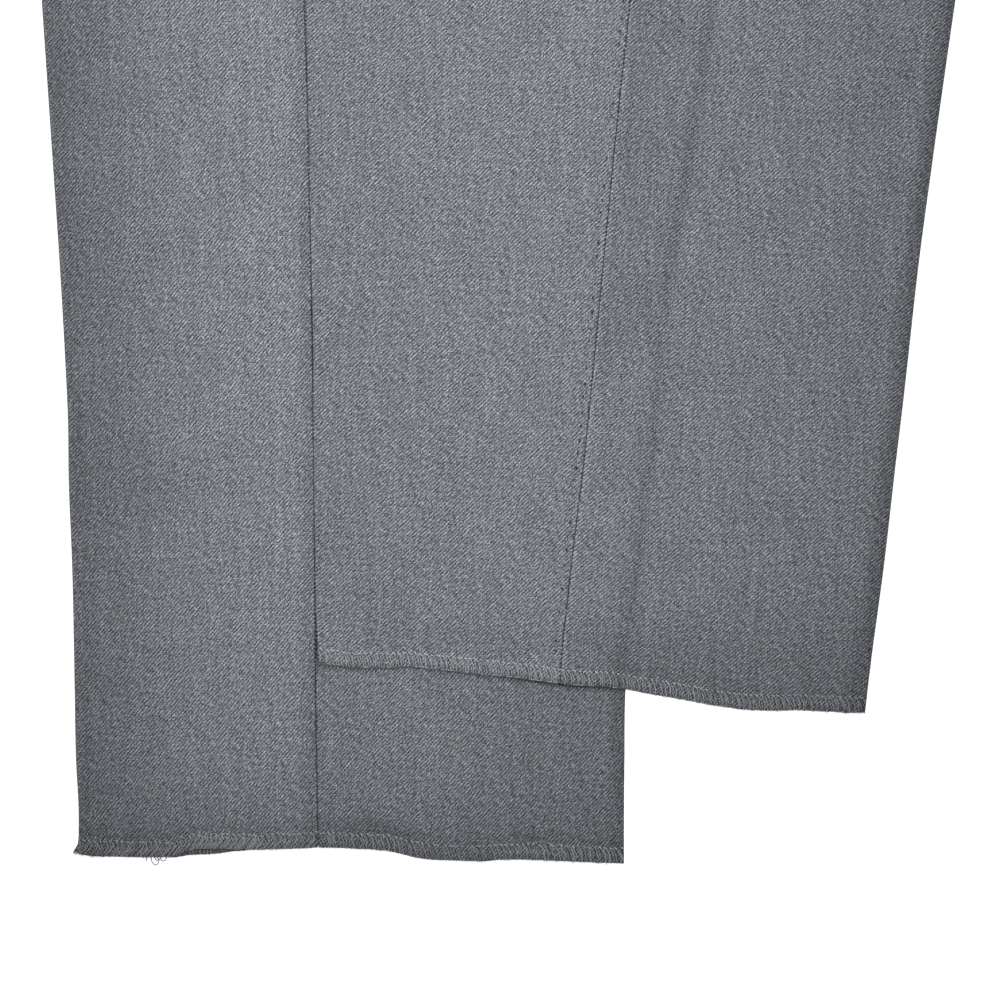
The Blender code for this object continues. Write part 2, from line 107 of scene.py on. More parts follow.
# Raw hem edges across the lay, one line for the upper face and one for the face below it.
lowerHem = {
    "top": ([-110, -108.4, -103, -97, -83, -72, -66.4, -62, -54, -45, -38, -30, -19, -13.6, -4, 9, 14.4,
             20, 26, 31.2, 42, 53.6, 59, 70, 84, 98, 110],
            [4.2, 3.2, 2.5, 2.4, 2.1, 2.2, 4.2, 5.5, 5.6, 5.2, 5.1, 5.3, 5.7, 6, 5.9, 5.2, 4.8, 3.6, 2,
             1.2, 0.8, 0.5, 1.1, 1.2, 0.6, 0, -0.4]),
    "under": ([-110, -100, -88, -80, -70, -64, -58.4, -52.8, -47.2, -41.6, -36, -24, -9, 9, 20, 54, 84,
               98, 110],
              [4.2, 3.2, 2.8, 2.4, 2, 3.1, 3.2, 3.6, 4.4, 4.9, 5.6, 6.6, 6.9, 6.2, 4.4, 1.6, 1.2, 0.6, 0]),
}
upperHem = {
    "top": ([-13, -11.2, 1.6, 14.8, 23.2, 32, 49.4, 66.8, 75.4, 87.6, 101.6, 109.6, 119.2, 130.6, 138.4,
             146, 155, 160, 169.6, 179.2, 184, 193.6, 198.4, 206],
            [80.8, 80, 78.2, 78.2, 78.8, 77.8, 75.9, 74.2, 72.9, 71.2, 70.6, 69.5, 67.6, 65.7, 64.2,
             62.8, 61.5, 61, 60.7, 61, 60.7, 60.3, 59.9, 59.9]),
    "under": ([-13, 4, 32, 56, 66, 76, 88, 100, 110, 130, 150, 176, 199, 206],
              [81, 79.6, 79.2, 76.6, 73.7, 72.2, 70.6, 70.1, 70.4, 68, 64.4, 63, 61.8, 60.5]),
    "gape": (81.0, 17.0, 0.02, 0.2, 1.6),  # place, half width, lift, darkness of a painted shadow along its cut edge and that shadow's height
}


def smooth(value):  # eased step: 3t^2 - 2t^3 of the value held between 0 and 1
    t = np.clip(value, 0.0, 1.0)
    return t * t * (3.0 - 2.0 * t)


def fall(value):  # the same step, downwards
    return 1.0 - smooth(value)


def bell(value):  # exp(-value^2)
    return np.exp(-value ** 2)


def stack(*values):  # side by side in a last axis
    return np.stack(values, axis=-1)


def read(table, column, at):  # cubic Hermite curve through the column, with central slopes
    xs = np.array(table["height"], float)
    ys = np.array(table[column], float)
    slopes = np.gradient(ys, xs)
    at = np.clip(at, xs[0], xs[-1])
    i = np.clip(np.searchsorted(xs, at, side="right") - 1, 0, len(xs) - 2)
    span = xs[i + 1] - xs[i]
    t = (at - xs[i]) / span
    t2, t3 = t * t, t * t * t
    return ((2 * t3 - 3 * t2 + 1) * ys[i] + (t3 - 2 * t2 + t) * span * slopes[i]
            + (3 * t2 - 2 * t3) * ys[i + 1] + (t3 - t2) * span * slopes[i + 1])


def lower(column, up):  # a column of the lower leg's table at a height
    return read(lowerLeg, column, up)


def upper(column, up):  # the same of the upper leg's table
    return read(upperLeg, column, up)


def forkAcross(fork, up):  # where the crotch seam lies across the lay at a height
    return np.interp(up, fork["height"], fork["across"])


def forkHeight(across):  # height of the crotch seam at a place across the lay
    places = frontFork["across"][::-1] + seatFork["across"][1:]
    heights = frontFork["height"][::-1] + seatFork["height"][1:]
    return np.interp(across, places, heights)


# Soft folds of the upper faces: half width, then points of the fold's line across and up the lay,
# each with its height there, below zero for a trough.
uprightFolds = [
    (2.4, (-10, 83, 0.5), (-8, 105, 0.55), (-4, 137, 0.45), (-1.6, 165, 0.35), (2.4, 201, 0.3),
     (4.8, 233, 0.15)),
    (3.6, (0.8, 89, -0.3), (3.2, 105, -0.35), (8, 137, -0.35), (10.8, 169, -0.3), (14, 205, -0.3),
     (16, 237, -0.2), (12.8, 281, -0.2), (20.8, 329, -0.15)),
    (14.0, (80, 150, 0.1), (84, 205, 0.5), (90, 270, 0.6), (96, 330, 0.4)),
    (12.0, (-48, 60, 0.2), (-44, 160, 0.4), (-42, 260, 0.5), (-46, 360, 0.3)),
    (9.0, (180, 90, 0.1), (186, 150, 0.35), (196, 240, 0.3), (204, 330, 0.2)),
    (10.0, (40, 380, 0.2), (44, 470, 0.7), (58, 580, 0.8), (66, 680, 0.3)),
    (9.0, (-96, 400, -0.2), (-100, 500, -0.6), (-104, 600, -0.5), (-112, 700, -0.2)),
    (12.0, (210, 400, 0.3), (216, 500, 0.9), (228, 610, 0.8), (244, 700, 0.3)),
    (8.0, (170, 430, -0.2), (176, 520, -0.6), (190, 600, -0.2)),
]
levelFolds = [
    (9.0, (-108, 176, -0.5), (-92, 160, -0.6), (-76, 140, -0.5), (-60, 124, -0.2)),
    (12.0, (96, 268, -0.2), (108, 258, -0.5), (122, 252, -0.2)),
    (22.0, (40, 840, 1.6), (95, 798, 2.4), (150, 760, 1.6)),
    (18.0, (20, 800, 1.2), (65, 748, 1.8), (110, 690, 1.2)),
    (20.0, (-20, 960, 1.0), (20, 944, 1.6), (60, 930, 1.0)),
    (24.0, (210, 900, 1.4), (250, 872, 2.0), (290, 840, 1.4)),
    (20.0, (-120, 930, 1.0), (-85, 906, 1.6), (-50, 880, 1.0)),
    (7.5, (30, 812, -0.8), (80, 768, -2.0), (130, 720, -1.7), (170, 690, -0.6)),
    (8.0, (200, 868, -0.7), (245, 838, -1.7), (290, 800, -0.6)),
    (6.5, (34, 834, 0.5), (92, 790, 1.5), (150, 742, 0.6)),
    (7.0, (196, 640, -0.3), (232, 606, -1.2), (270, 590, -0.4)),
    (6.5, (190, 566, -0.2), (220, 548, -0.9), (262, 546, -0.3)),
    (7.0, (-30, 676, -0.3), (10, 662, -1.1), (60, 640, -0.3)),
    (7.5, (-146, 700, -0.3), (-120, 676, -1.0), (-88, 664, -0.3)),
    (7.0, (-140, 905, -0.6), (-110, 880, -1.5), (-70, 850, -0.6)),
]


def foldRelief(across, up):
    # each fold: its height times exp(-(distance from its line / half width)^2), faded out past its ends
    total = 0.0 * across + 0.0 * up
    for upright, folds in ((True, uprightFolds), (False, levelFolds)):
        for half, *points in folds:
            x, y, rises = np.array(points, float).T
            ends, line, along, aside = (y, x, up, across) if upright else (x, y, across, up)
            run, lean = ends[-1] - ends[0], line[-1] - line[0]
            away = (aside - np.interp(along, ends, line)) * abs(run) / np.hypot(run, lean)
            fade = smooth((along - ends[0]) / half + 1.0) * smooth((ends[-1] - along) / half + 1.0)
            total = total + np.interp(along, ends, rises) * fade * bell(away / half)
    return total


# Pleats at the waist: place there, way the fold faces, step, length down the front, place at its foot.
pleats = {
    "left": [(112.0, 1.0, 2.0, 130.0, 104.0), (68.0, 1.0, 2.4, 210.0, 56.0)],
    "right": [(-90.0, -1.0, 2.0, 170.0, -104.0)],
    "face": 1.6,           # width of the steep side
    "back": 34.0,          # width over which the raised side falls away
    "held": 0.35,          # share of the step left under the waistband
    "heldRun": 40.0,
    "foot": 1.15,          # share of the length at which it has sunk out
}


def pleatLine(pleat, up):  # share of the pleat's length above a height, and its place there
    share = (garment["waistSeam"] - up) / pleat[3]
    return share, pleat[0] + (pleat[4] - pleat[0]) * share


def pleatRelief(across, up):  # steep on the side it faces, falling away behind, sunk out at its foot
    total = 0.0 * across + 0.0 * up
    for pleat in pleats["left"] + pleats["right"]:
        share, line = pleatLine(pleat, up)
        ahead = (across - line) * pleat[1]
        face = smooth((pleats["face"] - ahead) / pleats["face"])
        back = smooth((ahead + pleats["back"]) / pleats["back"])
        held = pleats["held"] + (1.0 - pleats["held"]) * smooth(share * pleat[3] / pleats["heldRun"])
        total = total + pleat[2] * face * back * smooth(pleats["foot"] - share) * held
    return total


def foldAir(inside, crease, most):  # air beside one fold: its crease's rise, then slow to the most
    rise, width = creases[crease]
    start = rise * (1.0 - np.exp(-inside / width))
    return start + (most - cloth["edgeAir"] - rise) * smooth(inside / cloth["loftWidth"])


def loft(across, left, right, most, press=1.0, creasePair=("soft", "round")):  # air between two folds
    fromLeft = foldAir(np.maximum(across - left, 0.0), creasePair[0], most)
    fromRight = foldAir(np.maximum(right - across, 0.0), creasePair[1], most)
    return cloth["edgeAir"] + np.minimum(fromLeft, fromRight) * press


def hemPress(up, hemRow):  # share of the air near a hem, full from hemPressRun up
    return cloth["hemPress"] + (1.0 - cloth["hemPress"]) * smooth((up - hemRow) / cloth["hemPressRun"])


# The upper leg's left fold lies pressed into the lower leg, and more just under it.
pressed = {
    "depth": 0.7, "run": 4.0,
    "bed": 0.85, "bedEdge": 0.4, "bedRun": 0.5,
    "bareTop": 66.0, "bareRun": 14.0,     # from here down the line is bare and follows the inseam,
    "bareLess": 0.65,                     # pressed in less by this share
    "right": 24.0, "bareRight": 1.2,      # way back up on the line's right
    "end": 60.0,                          # it ends over this height below the crotch
}


def pressedLine(up):  # that line across the lay, and the share by which it is bare
    bare = 1.0 - smooth((up - pressed["bareTop"]) / pressed["bareRun"])
    return upper("left", up) + (lower("inseam", up) - upper("left", up)) * bare, bare


def pressDip(across, up):  # exp(-distance / run) on the line's left, eased out on its right
    line, bare = pressedLine(up)
    away = line - across
    toLeft = np.exp(-np.maximum(away, 0.0) / pressed["run"])
    toRight = 1.0 - smooth(-away / (pressed["bareRight"] * bare + pressed["right"] * (1.0 - bare)))
    past = smooth((garment["crotch"] - up) / pressed["end"])
    bed = pressed["bed"] * (1.0 - bare) * smooth((pressed["bedEdge"] - away) / pressed["bedRun"])
    return (pressed["depth"] * (1.0 - pressed["bareLess"] * bare) * toLeft + bed) * toRight * past


# Where the legs' walls meet, end and step down, as widths across or up the lay.
steps = {
    "shown": 20.0, "shownStart": 0.4,     # the lower leg's folds end under the upper leg
    "foldEnd": 14.0, "openEnd": 6.0,      # soft folds end before a pressed fold, or an open edge
    "quick": 5.0, "quickShare": 0.45, "slowStart": 8.0, "slow": 26.0,  # down off the lower leg
    "floor": 30.0,                        # over the seat's fork the lower wall comes to the floor
    "open": 20.0,                         # over the front's fork the left fold opens
    "meetUp": 10.0, "meetAcross": 9.0,    # and its edge comes down to the right front's
}


def floorLayer(across, up):  # middle of the wall that lies on the floor
    return 0.0 * across + 0.0 * up + cloth["wall"] / 2


def rightPlain(across, up):  # middle of the lower leg's upper wall, without folds
    inBody = smooth((up - garment["frontForkTop"]) / cloth["bodyRun"])
    air = cloth["legAir"] + (cloth["bodyAir"] - cloth["legAir"]) * inBody
    lofted = loft(across, lower("left", up), lower("right", up), air, hemPress(up, 0.0))
    return cloth["wall"] * 1.5 + lofted - pressDip(across, up)


def rightInner(across, up):  # the same with its folds and pleat, where the upper leg leaves it bare
    shown = smooth((upper("left", up) - across) / steps["shown"] + steps["shownStart"])
    shown = shown * smooth((across - lower("left", up)) / steps["foldEnd"])
    return rightPlain(across, up) + (pleatRelief(across, up) + foldRelief(across, up)) * shown


def besideLeg(across, up):  # 0 on the lower leg, 1 beside it: a quick drop, then a slow one
    past = across - lower("right", np.minimum(up, garment["seatForkTop"]))
    quick = smooth((past + steps["quick"] / 2) / steps["quick"])
    slow = smooth((past + steps["slowStart"]) / (steps["slowStart"] + steps["slow"]))
    return steps["quickShare"] * quick + (1.0 - steps["quickShare"]) * slow


def leftInner(across, up):  # the upper leg's lower wall: on the lower leg, then on the floor
    onLeg = rightPlain(across, up) + cloth["wall"] + cloth["layerGap"]
    down = smooth((across - lower("right", up)) / steps["quick"])
    gone = smooth((up - garment["seatForkTop"]) / steps["floor"])
    return onLeg + (cloth["wall"] / 2 - onLeg) * np.maximum(down, gone)


def topLayer(across, up):  # the upper leg's upper wall, which sinks to the body's level over the crotch
    left, right = upper("left", up), upper("right", up)
    underEdge = lower("right", np.minimum(up, garment["seatForkTop"]))
    lofted = loft(across, lower("left", up), underEdge, cloth["legAir"], hemPress(up, 0.0))
    flat = cloth["wall"] * 2.5 + cloth["layerGap"] + lofted - pressDip(across, up)
    under = flat + (cloth["wall"] / 2 - flat) * besideLeg(across, up)
    overFork = up - garment["frontForkTop"]
    leftFold = left - 2 * cloth["loftWidth"] * smooth(overFork / steps["open"])
    press = hemPress(up, garment["upperHemRow"])
    inLeg = under + cloth["wall"] + loft(across, leftFold, right, cloth["legAir"], press, ("sharp", "round"))
    inBody = cloth["wall"] * 1.5 + loft(across, leftFold, right, cloth["bodyAir"])
    past = smooth((up - forkHeight(across)) / garment["forkBlend"])
    fade = smooth((right - across) / steps["foldEnd"]) * smooth((across - leftFold) / steps["openEnd"])
    beside = np.maximum(across - upper("outseam", up), 0.0) / cloth["seamDropRun"]
    dropStart, dropGrow = cloth["seamDropUp"]
    drop = cloth["seamDrop"] * (1.0 - np.exp(-beside)) * smooth((up - dropStart) / dropGrow)
    relief = pleatRelief(across, up) + foldRelief(across, up) - drop
    level = inLeg + (inBody - inLeg) * past + relief * fade
    meet = smooth(overFork / steps["meetUp"]) * fall((across - left) / steps["meetAcross"])
    return level + (np.minimum(rightPlain(across, up), level) - level) * meet


hemFlare = {"out": 1.8, "run": 2.8}  # the lower leg's left corner points out at the hem
forkTurn = {"below": 30.0, "above": 8.0, "end": 20.0}  # heights over which the seam turns at a fork's top


def wayOf(side):  # across the lay
    return 1.0 if side == "right" else -1.0


def makeCut(leg, side, fork, far=None, flare=0.0, gap=0.0):
    # what gives a panel's section at a height: its start beside the outseam, its fold and its whole
    # width. Above the fork it runs back to the other leg's edge, far, or else ends at its own fold
    way, slit, forkTop = wayOf(side), cloth["seamGap"] / 2, fork["height"][-1]

    def cut(up):
        start = leg("outseam", up) + way * slit
        centre = leg(side, up) + way * flare * bell(up / hemFlare["run"])
        past = up - forkTop
        over = np.maximum(past, 0.0) * (far is None)
        fold = centre + way * forkTurn["end"] * smooth(over / forkTurn["end"])
        place = np.where(past < 0, forkAcross(fork, up), far[0](far[1], up) if far else fold)
        run = np.abs(np.where(up <= garment["crotch"], leg("inseam", up), place) - fold)
        turning = smooth(1.0 - np.abs(past) / np.where(past > 0, forkTurn["above"], forkTurn["below"]))
        whole = np.abs(fold - start) + run - slit - gap * turning
        return start, fold, np.where(over > 0, np.abs(centre - start) - slit, whole)

    return cut


# Each panel runs out from its outseam, round its fold and back. across is the way its twill's
# across direction runs against the section, and grain the slope of the twill's lines in degrees.
# shade scales the panel's colour as painted light and shade: lighter and darker copies of one cloth
# for how the light falls on each panel. fades darken it beside a line as painted shade, and a fade
# below zero lightens it as painted light: amount, width in full and width to the end. dim darkens a
# place as painted shade, lightening it as painted light where its amount is below zero: across, up,
# two half widths and amount. At the upper hem that painted light also stands for its band's paler
# threads. thin is where its overlock is thinner: middle and half width along the section, and the
# looper's and the needle's shares. ridge: place, half width, rise.
legs = {
    "right": {"out": floorLayer, "back": rightInner, "hem": lowerHem, "hemRow": 0.0, "topFirst": False},
    "left": {"out": topLayer, "back": leftInner, "hem": upperHem, "hemRow": garment["upperHemRow"],
             "topFirst": True},
}
panels = {
    "right_front": {
        **legs["right"], "across": 1.0, "grain": 49.5, "shade": 1.15, "hemWider": -0.4,
        "cut": makeCut(lower, "left", frontFork, (upper, "left"), hemFlare["out"], cloth["forkGap"]),
        "dim": [(-82.0, 152.0, 32.0, 15.0, 0.09)],
        "fades": {"fold": [(0.08, 5.0, 8.0), (0.15, 10.0, 45.0)], "line": [(0.2, 2.2, 6.0)],
                  "hem": [(0.19, 6.2, 9.0), (0.05, 14.0, 40.0), (0.15, 0.2, 1.8)]},
        "outCount": 34, "backCount": 42, "flat": (0.38, 1.15), "area": 0.29, "rests": ["floor"]},
    "right_back": {
        **legs["right"], "across": -1.0, "grain": 46.8, "shade": 0.99, "hemWider": -0.4,
        "cut": makeCut(lower, "right", seatFork), "thin": (188.0, 26.0, 0.6, 0.2),
        "dim": [(12.0, 8.0, 17.0, 8.0, 0.17), (78.0, 3.0, 24.0, 5.0, -0.16)],
        "fades": {"fold": [(0.2, 3.0, 6.0), (0.16, 20.0, 70.0)], "hem": [(0.21, 6.2, 9.0), (0.15, 0.2, 1.8)]},
        "outCount": 42, "backCount": 48, "flat": (0.43, 1.15), "area": 0.35, "rests": ["floor"]},
    "left_front": {
        **legs["left"], "across": -1.0, "grain": 43.5, "shade": 0.985, "hemWider": 0.4,
        "cut": makeCut(upper, "left", frontFork), "ridge": (2.6, 1.2, -0.25),
        "dim": [(80.0, 69.0, 9.0, 10.0, -0.08)],
        "fades": {"hem": [(0.25, 0.2, 1.8), (-0.07, 5.6, 1.0)], "under": [(0.36, 1.2, 4.5)],
                  "fold": [(-0.035, 9.0, 14.0)]},
        "outCount": 56, "backCount": 32, "flat": (0.3, 1.09), "area": 0.25, "rests": ["right_front_cloth"]},
    "left_back": {
        **legs["left"], "across": 1.0, "grain": 40.8, "shade": 0.95, "hemWider": 0.5, "edge": 0.35,
        "cut": makeCut(upper, "right", seatFork, (lower, "right")), "ridge": (2.0, 1.5, 0.12),
        "thin": (150.0, 85.0, 0.42, 0.45), "dim": [(90.0, 69.0, 12.0, 10.0, -0.18)],
        "fades": {"fold": [(0.2, 3.0, 7.0)], "hem": [(0.13, 12.0, 45.0), (0.12, 6.6, 6.0), (0.25, 0.2, 1.8)],
                  "seam": [(0.09, 10.0, 30.0)], "edge": [(-0.25, 0.35, 1.9)], "under": [(0.36, 1.2, 4.5)]},
        "outCount": 54, "backCount": 46, "flat": (0.44, 1.09), "area": 0.36, "rests": ["right_back_cloth"]},
}


def foldPlaces(panel, up):  # section distances where a panel's fold starts and ends, and its radius
    start, fold, length = panel["cut"](up)
    way = np.sign(fold - start)
    probe = fold - way * cloth["edgeAir"]
    zOut, zBack = panel["out"](probe, up), panel["back"](probe, up)
    radius = np.abs(zOut - zBack) / 2
    straight = np.abs(fold - way * radius - start)
    turned = np.clip((length - straight - radius) / (2 * radius), 0.0, 1.0)
    length = length + (np.pi - 2) * radius * turned  # what the round way takes more than a flat fold
    return start, fold, length, way, zOut, zBack, radius, straight


def middleLine(panel, s, up):
    # out at the first layer's level, a half circle at the fold, back at the second's level
    start, fold, length, way, zOut, zBack, radius, straight = foldPlaces(panel, up)
    arc = np.pi * radius
    angle = np.clip((s - straight) / radius, 0.0, np.pi)
    after = np.maximum(s - straight - arc, 0.0)
    x = start + way * (np.minimum(s, straight) + radius * np.sin(angle)) - way * after
    zArc = (zOut + zBack) / 2 + (zOut - zBack) / 2 * np.cos(angle)
    z = np.where(s <= straight, panel["out"](x, up), np.where(after > 0, panel["back"](x, up), zArc))
    nearEdge = np.minimum(s, length - s)
    roll = cloth["rollDepth"] * fall(nearEdge / cloth["rollWidth"])
    first = s < straight + arc / 2
    onTop = first if panel["topFirst"] else ~first
    if "ridge" in panel:
        place, half, rise = panel["ridge"]
        roll = roll - rise * bell((s - place) / half)
    fromHem = up - panel["hemRow"]
    lift = cloth["hemLift"]
    if "gape" in panel["hem"]:
        place, half, rise = panel["hem"]["gape"][:3]
        lift = lift + rise * onTop * bell((x - place) / half)
    z = z + lift * fall(fromHem / cloth["hemLiftRun"])
    roll = roll + cloth["hemCurl"] * fall(fromHem / cloth["hemCurlRun"]) * onTop
    return x, z - roll * np.where(onTop, 1.0, -1.0), onTop, fold, straight + arc / 2


def rowHeight(panel, x, up, onTop):  # up the lay, with the hem's wave and the waist's tilt
    hem, hemRow = panel["hem"], panel["hemRow"]
    wave = np.where(onTop, np.interp(x, *hem["top"]), np.interp(x, *hem["under"])) - hemRow
    low = smooth(1.0 - (up - hemRow) / garment["hemFade"])
    high = smooth((up - garment["tiltStart"]) / (garment["waistSeam"] - garment["tiltStart"]))
    return up + wave * low + garment["waistTilt"] * (x - lowerLeg["left"][-1]) * high


nearBy = 0.02  # distance to the points that give a section's direction


def surface(panel, s, up, lift):  # the middle line moved outwards by lift, square to the section
    x, z, onTop, fold, sFold = middleLine(panel, s, up)
    xNext, zNext = middleLine(panel, s + nearBy, up)[:2]
    xLast, zLast = middleLine(panel, s - nearBy, up)[:2]
    dx, dz = xNext - xLast, zNext - zLast
    out = -panel["across"] * lift / np.maximum(np.hypot(dx, dz), 1e-6)
    y = rowHeight(panel, x, up, onTop)
    points = stack(x + dz * out, y, z - dx * out)
    return points, stack(fold + panel["across"] * (s - sFold), y)


# The frame's place of the lay: the button's middle is known in both.
buttonPlace = {"tab": 38.0, "inset": 14.0, "waistband": 40.0}


def layShift():  # what turns lay millimetres into frame metres
    low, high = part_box("waist_button")
    across = upper("left", garment["waistTop"]) - buttonPlace["tab"] + buttonPlace["inset"]
    level = garment["waistSeam"] + buttonPlace["waistband"] / 2
    level = level + garment["waistTilt"] * (across - lowerLeg["left"][-1])
    return np.array([(low.x + high.x) / 2 - across * mm, (low.y + high.y) / 2 - level * mm, 0.0])


shift = layShift()
print("lay shift", shift.round(5))


def buildMesh(name, points, quads, uv=None, material=None, attributes=None, sharp=1.0):
    # points in lay millimetres, faces as rows of four indices, uv and attributes one value a point
    mesh = bpy.data.meshes.new(name)
    mesh.vertices.add(len(points))
    mesh.vertices.foreach_set("co", (points * mm + shift).astype(np.float32).ravel())
    mesh.loops.add(quads.size)
    mesh.loops.foreach_set("vertex_index", quads.astype(np.int32).ravel())
    mesh.polygons.add(len(quads))
    mesh.polygons.foreach_set("loop_start", np.arange(0, quads.size, 4, dtype=np.int32))
    mesh.update(calc_edges=True)
    if uv is not None:
        layer = mesh.uv_layers.new(name="cut")
        layer.data.foreach_set("uv", (uv * mm)[quads.ravel()].astype(np.float32).ravel())
    for key, values in (attributes or {}).items():
        mesh.attributes.new(key, "FLOAT", "POINT").data.foreach_set("value", values.astype(np.float32))
    mesh.polygons.foreach_set("use_smooth", np.ones(len(quads), bool))
    mesh.set_sharp_from_angle(angle=sharp)
    mesh.validate()
    piece = bpy.data.objects.new(name, mesh)
    bpy.context.scene.collection.objects.link(piece)
    if material:
        mesh.materials.append(material)
    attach(piece, "root")
    return piece


def gridQuads(rows, columns):  # faces between neighbouring rows and columns of a grid
    index = np.arange(rows * columns).reshape(rows, columns)
    return stack(index[:-1, :-1], index[:-1, 1:], index[1:, 1:], index[1:, :-1]).reshape(-1, 4)


def wallFaces(rows, columns, flip):  # both faces of a wall on a grid and the rim that joins them
    front = gridQuads(rows, columns)
    back = front[:, ::-1] + rows * columns
    index = np.arange(rows * columns).reshape(rows, columns)
    rim = np.concatenate([index[0, :], index[1:, -1], index[-1, -2::-1], index[-2:0:-1, 0]])
    ahead = np.roll(rim, -1)
    edge = stack(rim, rim + rows * columns, ahead + rows * columns, ahead)
    faces = np.concatenate([front, back, edge])
    return faces[:, ::-1] if flip else faces


def columnPlaces(marks, counts, least):  # distances along the sections, even between marks kept apart
    end = marks[-1]
    places = []
    last = marks[0]
    for k, count in enumerate(counts):
        room = least * sum(counts[k + 1:])
        following = np.maximum(np.minimum(marks[k + 1], end - room), last + 0.01)
        if k == len(counts) - 1:
            following = end
        share = np.arange(count) / count
        places.append(last + (following - last) * share)
        last = following
    return np.concatenate(places + [last], axis=1)


def rowPlaces(hemRow):  # row heights: fine at the hem and under the waistband, coarser between
    ends = [hemRow, hemRow + 9, 360, 780, 1000, 1112, garment["waistSeam"]]
    rows = [np.linspace(low, high, int(round((high - low) / step)), endpoint=False)
            for low, high, step in zip(ends, ends[1:], (1.0, 3.0, 6.0, 4.0, 5.0, 0.8))]
    return np.concatenate(rows + [ends[-1:]])[:, None]


# Marks between which the columns are even: beside a seam, a seam's end, a fold, a pleat's two sides.
columns = {"edge": 1.4, "seam": 6.0, "end": 4.0, "fold": 8.0, "least": 0.12,
           "pleat": (-2.0, 0.6), "pleatLeast": 12.0}


def panelGrid(name):  # a panel's rows, and its columns between marks at its edges, its fold and its pleats
    panel = panels[name]
    up = rowPlaces(panel["hemRow"])
    start, fold, length, *_, radius, straight = foldPlaces(panel, up)
    turned = straight + np.pi * radius
    zero = 0.0 * up
    out, back = [], []
    if name == "left_front":
        out = [start - pleatLine(pleat, up)[1] for pleat in pleats["left"]]
    if name == "right_front":
        line = pleatLine(pleats["right"][0], up)[1]
        back = [np.maximum(line - fold, columns["pleatLeast"]) + turned]
    outMarks, backMarks = ([ridge + side for ridge in ridges for side in columns["pleat"]]
                           for ridges in (out, back))
    edge, bend = columns["edge"], columns["fold"]
    marks = [zero, zero + edge, zero + columns["seam"], *outMarks, straight - bend, straight, turned,
             turned + bend, *backMarks, length - columns["end"], length - edge, length]
    outCounts, backCounts = [10, 4] * len(out), [8, 4] * len(back)
    counts = [6, 8, *outCounts, panel["outCount"] - sum(outCounts), 6, 6, 6,
              *backCounts, panel["backCount"] - sum(backCounts), 3, 6]
    return panel, up, columnPlaces(marks, counts, columns["least"]), length


seamLook = {
    "width": 0.55, "pitch": 1.76 * mm, "shade": 0.42,  # a seam's dark edge, broken into beads: its dark stitches and painted shade of its slit
    "hemRun": 60.0, "foldTurn": 0.9,
    "paintedShadeOff": 60.0, "paintedShadeTop": 230.0, "paintedShadeRun": 80.0,  # near the hem the painted shade beside a seam is moved away
}
hemLook = {"band": 6.1, "softIn": 0.4, "softOut": 0.3, "pitch": 1.1 * mm, "slant": 0.38, "lines": 0.3,
           "pale": -0.06, "calm": 0.05}
waistLine = {"dark": 0.35, "flat": 0.8, "run": 2.2}  # shadow under the waistband's edge
farAway = 99.0


def underBand(up):  # shade there
    below = garment["waistSeam"] - up
    return 1.0 - waistLine["dark"] * fall((below - waistLine["flat"]) / waistLine["run"])


def paintedShade(panel, s, up):  # painted shade beside a fold, a hem, a seam and the pressed line, in spots and under the waistband; painted light where an amount is below zero
    x, _, onTop = middleLine(panel, s, up)[:3]
    fromHem = up - panel["hemRow"]
    away = {"line": np.where(onTop, np.abs(pressedLine(up)[0] - x), farAway), "hem": fromHem, "edge": s,
            "seam": s + seamLook["paintedShadeOff"] * smooth((seamLook["paintedShadeTop"] - up) / seamLook["paintedShadeRun"]),
            "fold": np.abs(s - foldPlaces(panel, up)[7]), "under": np.where(onTop, farAway, fromHem)}
    shade = 1.0 + 0.0 * s
    for where, fades in panel["fades"].items():
        for amount, flat, run in fades:
            shade = shade * (1.0 - amount * fall((away[where] - flat) / run))
    for place, level, halfAcross, halfUp, amount in panel.get("dim", []):
        spot = np.exp(-((x - place) / halfAcross) ** 2 - ((up - level) / halfUp) ** 2)
        shade = shade * (1.0 - amount * spot * onTop)
    if "gape" in panel["hem"]:
        place, half, _, dark, rise = panel["hem"]["gape"]
        shade = shade * (1.0 - dark * fall(fromHem / rise) * bell((x - place) / half))
    return shade * underBand(up)


def makeCloth(name, node, spec, outer, inner, uv, look):
    # a shell between two grids; look: seam 1 on a seam's edge, hem the distance from it, shade the painted
    # light and shade that scale its colour
    points = np.concatenate([outer.reshape(-1, 3), inner.reshape(-1, 3)])
    look = {"seam": 0.0, "hem": farAway, "shade": 1.0, **look}
    look = {key: np.tile((value + 0.0 * outer[..., 0]).ravel(), 2) for key, value in look.items()}
    faces = wallFaces(*outer.shape[:2], spec["across"] < 0)
    material = twillMaterial(node + "_twill", spec["grain"], spec["shade"])
    piece = buildMesh(name, points, faces, np.tile(uv.reshape(-1, 2), (2, 1)), material, look)
    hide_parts(node)
    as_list(spec["rests"])


def makePanel(name):  # its two grids lie half a wall outwards and half a wall inwards of the middle line
    panel, up, s, length = panelGrid(name)
    outer, uv = surface(panel, s, up, cloth["wall"] / 2)
    inner, _ = surface(panel, s, up, -cloth["wall"] / 2)
    fromHem = up - panel["hemRow"]
    nearHem = 1.0 - smooth(fromHem / seamLook["hemRun"])
    wide = panel.get("edge", seamLook["width"]) * (1.0 + panel["hemWider"] * nearHem)
    seam = np.clip(1.0 - np.minimum(s, length - s) / wide, 0.0, 1.0)
    if name == "left_front":  # its fold lies on the lower leg as a dark line: painted contact shadow, beaded like a seam
        turn = foldPlaces(panel, up)[7] + seamLook["foldTurn"]
        seam = np.maximum(seam, np.clip(1.0 - np.abs(s - turn) / seamLook["width"], 0.0, 1.0))
    makeCloth(name + "_cloth", name, panel, outer, inner, uv,
              {"seam": seam, "hem": fromHem, "shade": paintedShade(panel, s, up)})
    area = ((length[:-1] + length[1:]) / 2 * np.diff(up, axis=0)).sum() * 1e-6
    print(name, "grid", s.shape, "widest", round(float(length.max())), "area m2", round(float(area), 4))


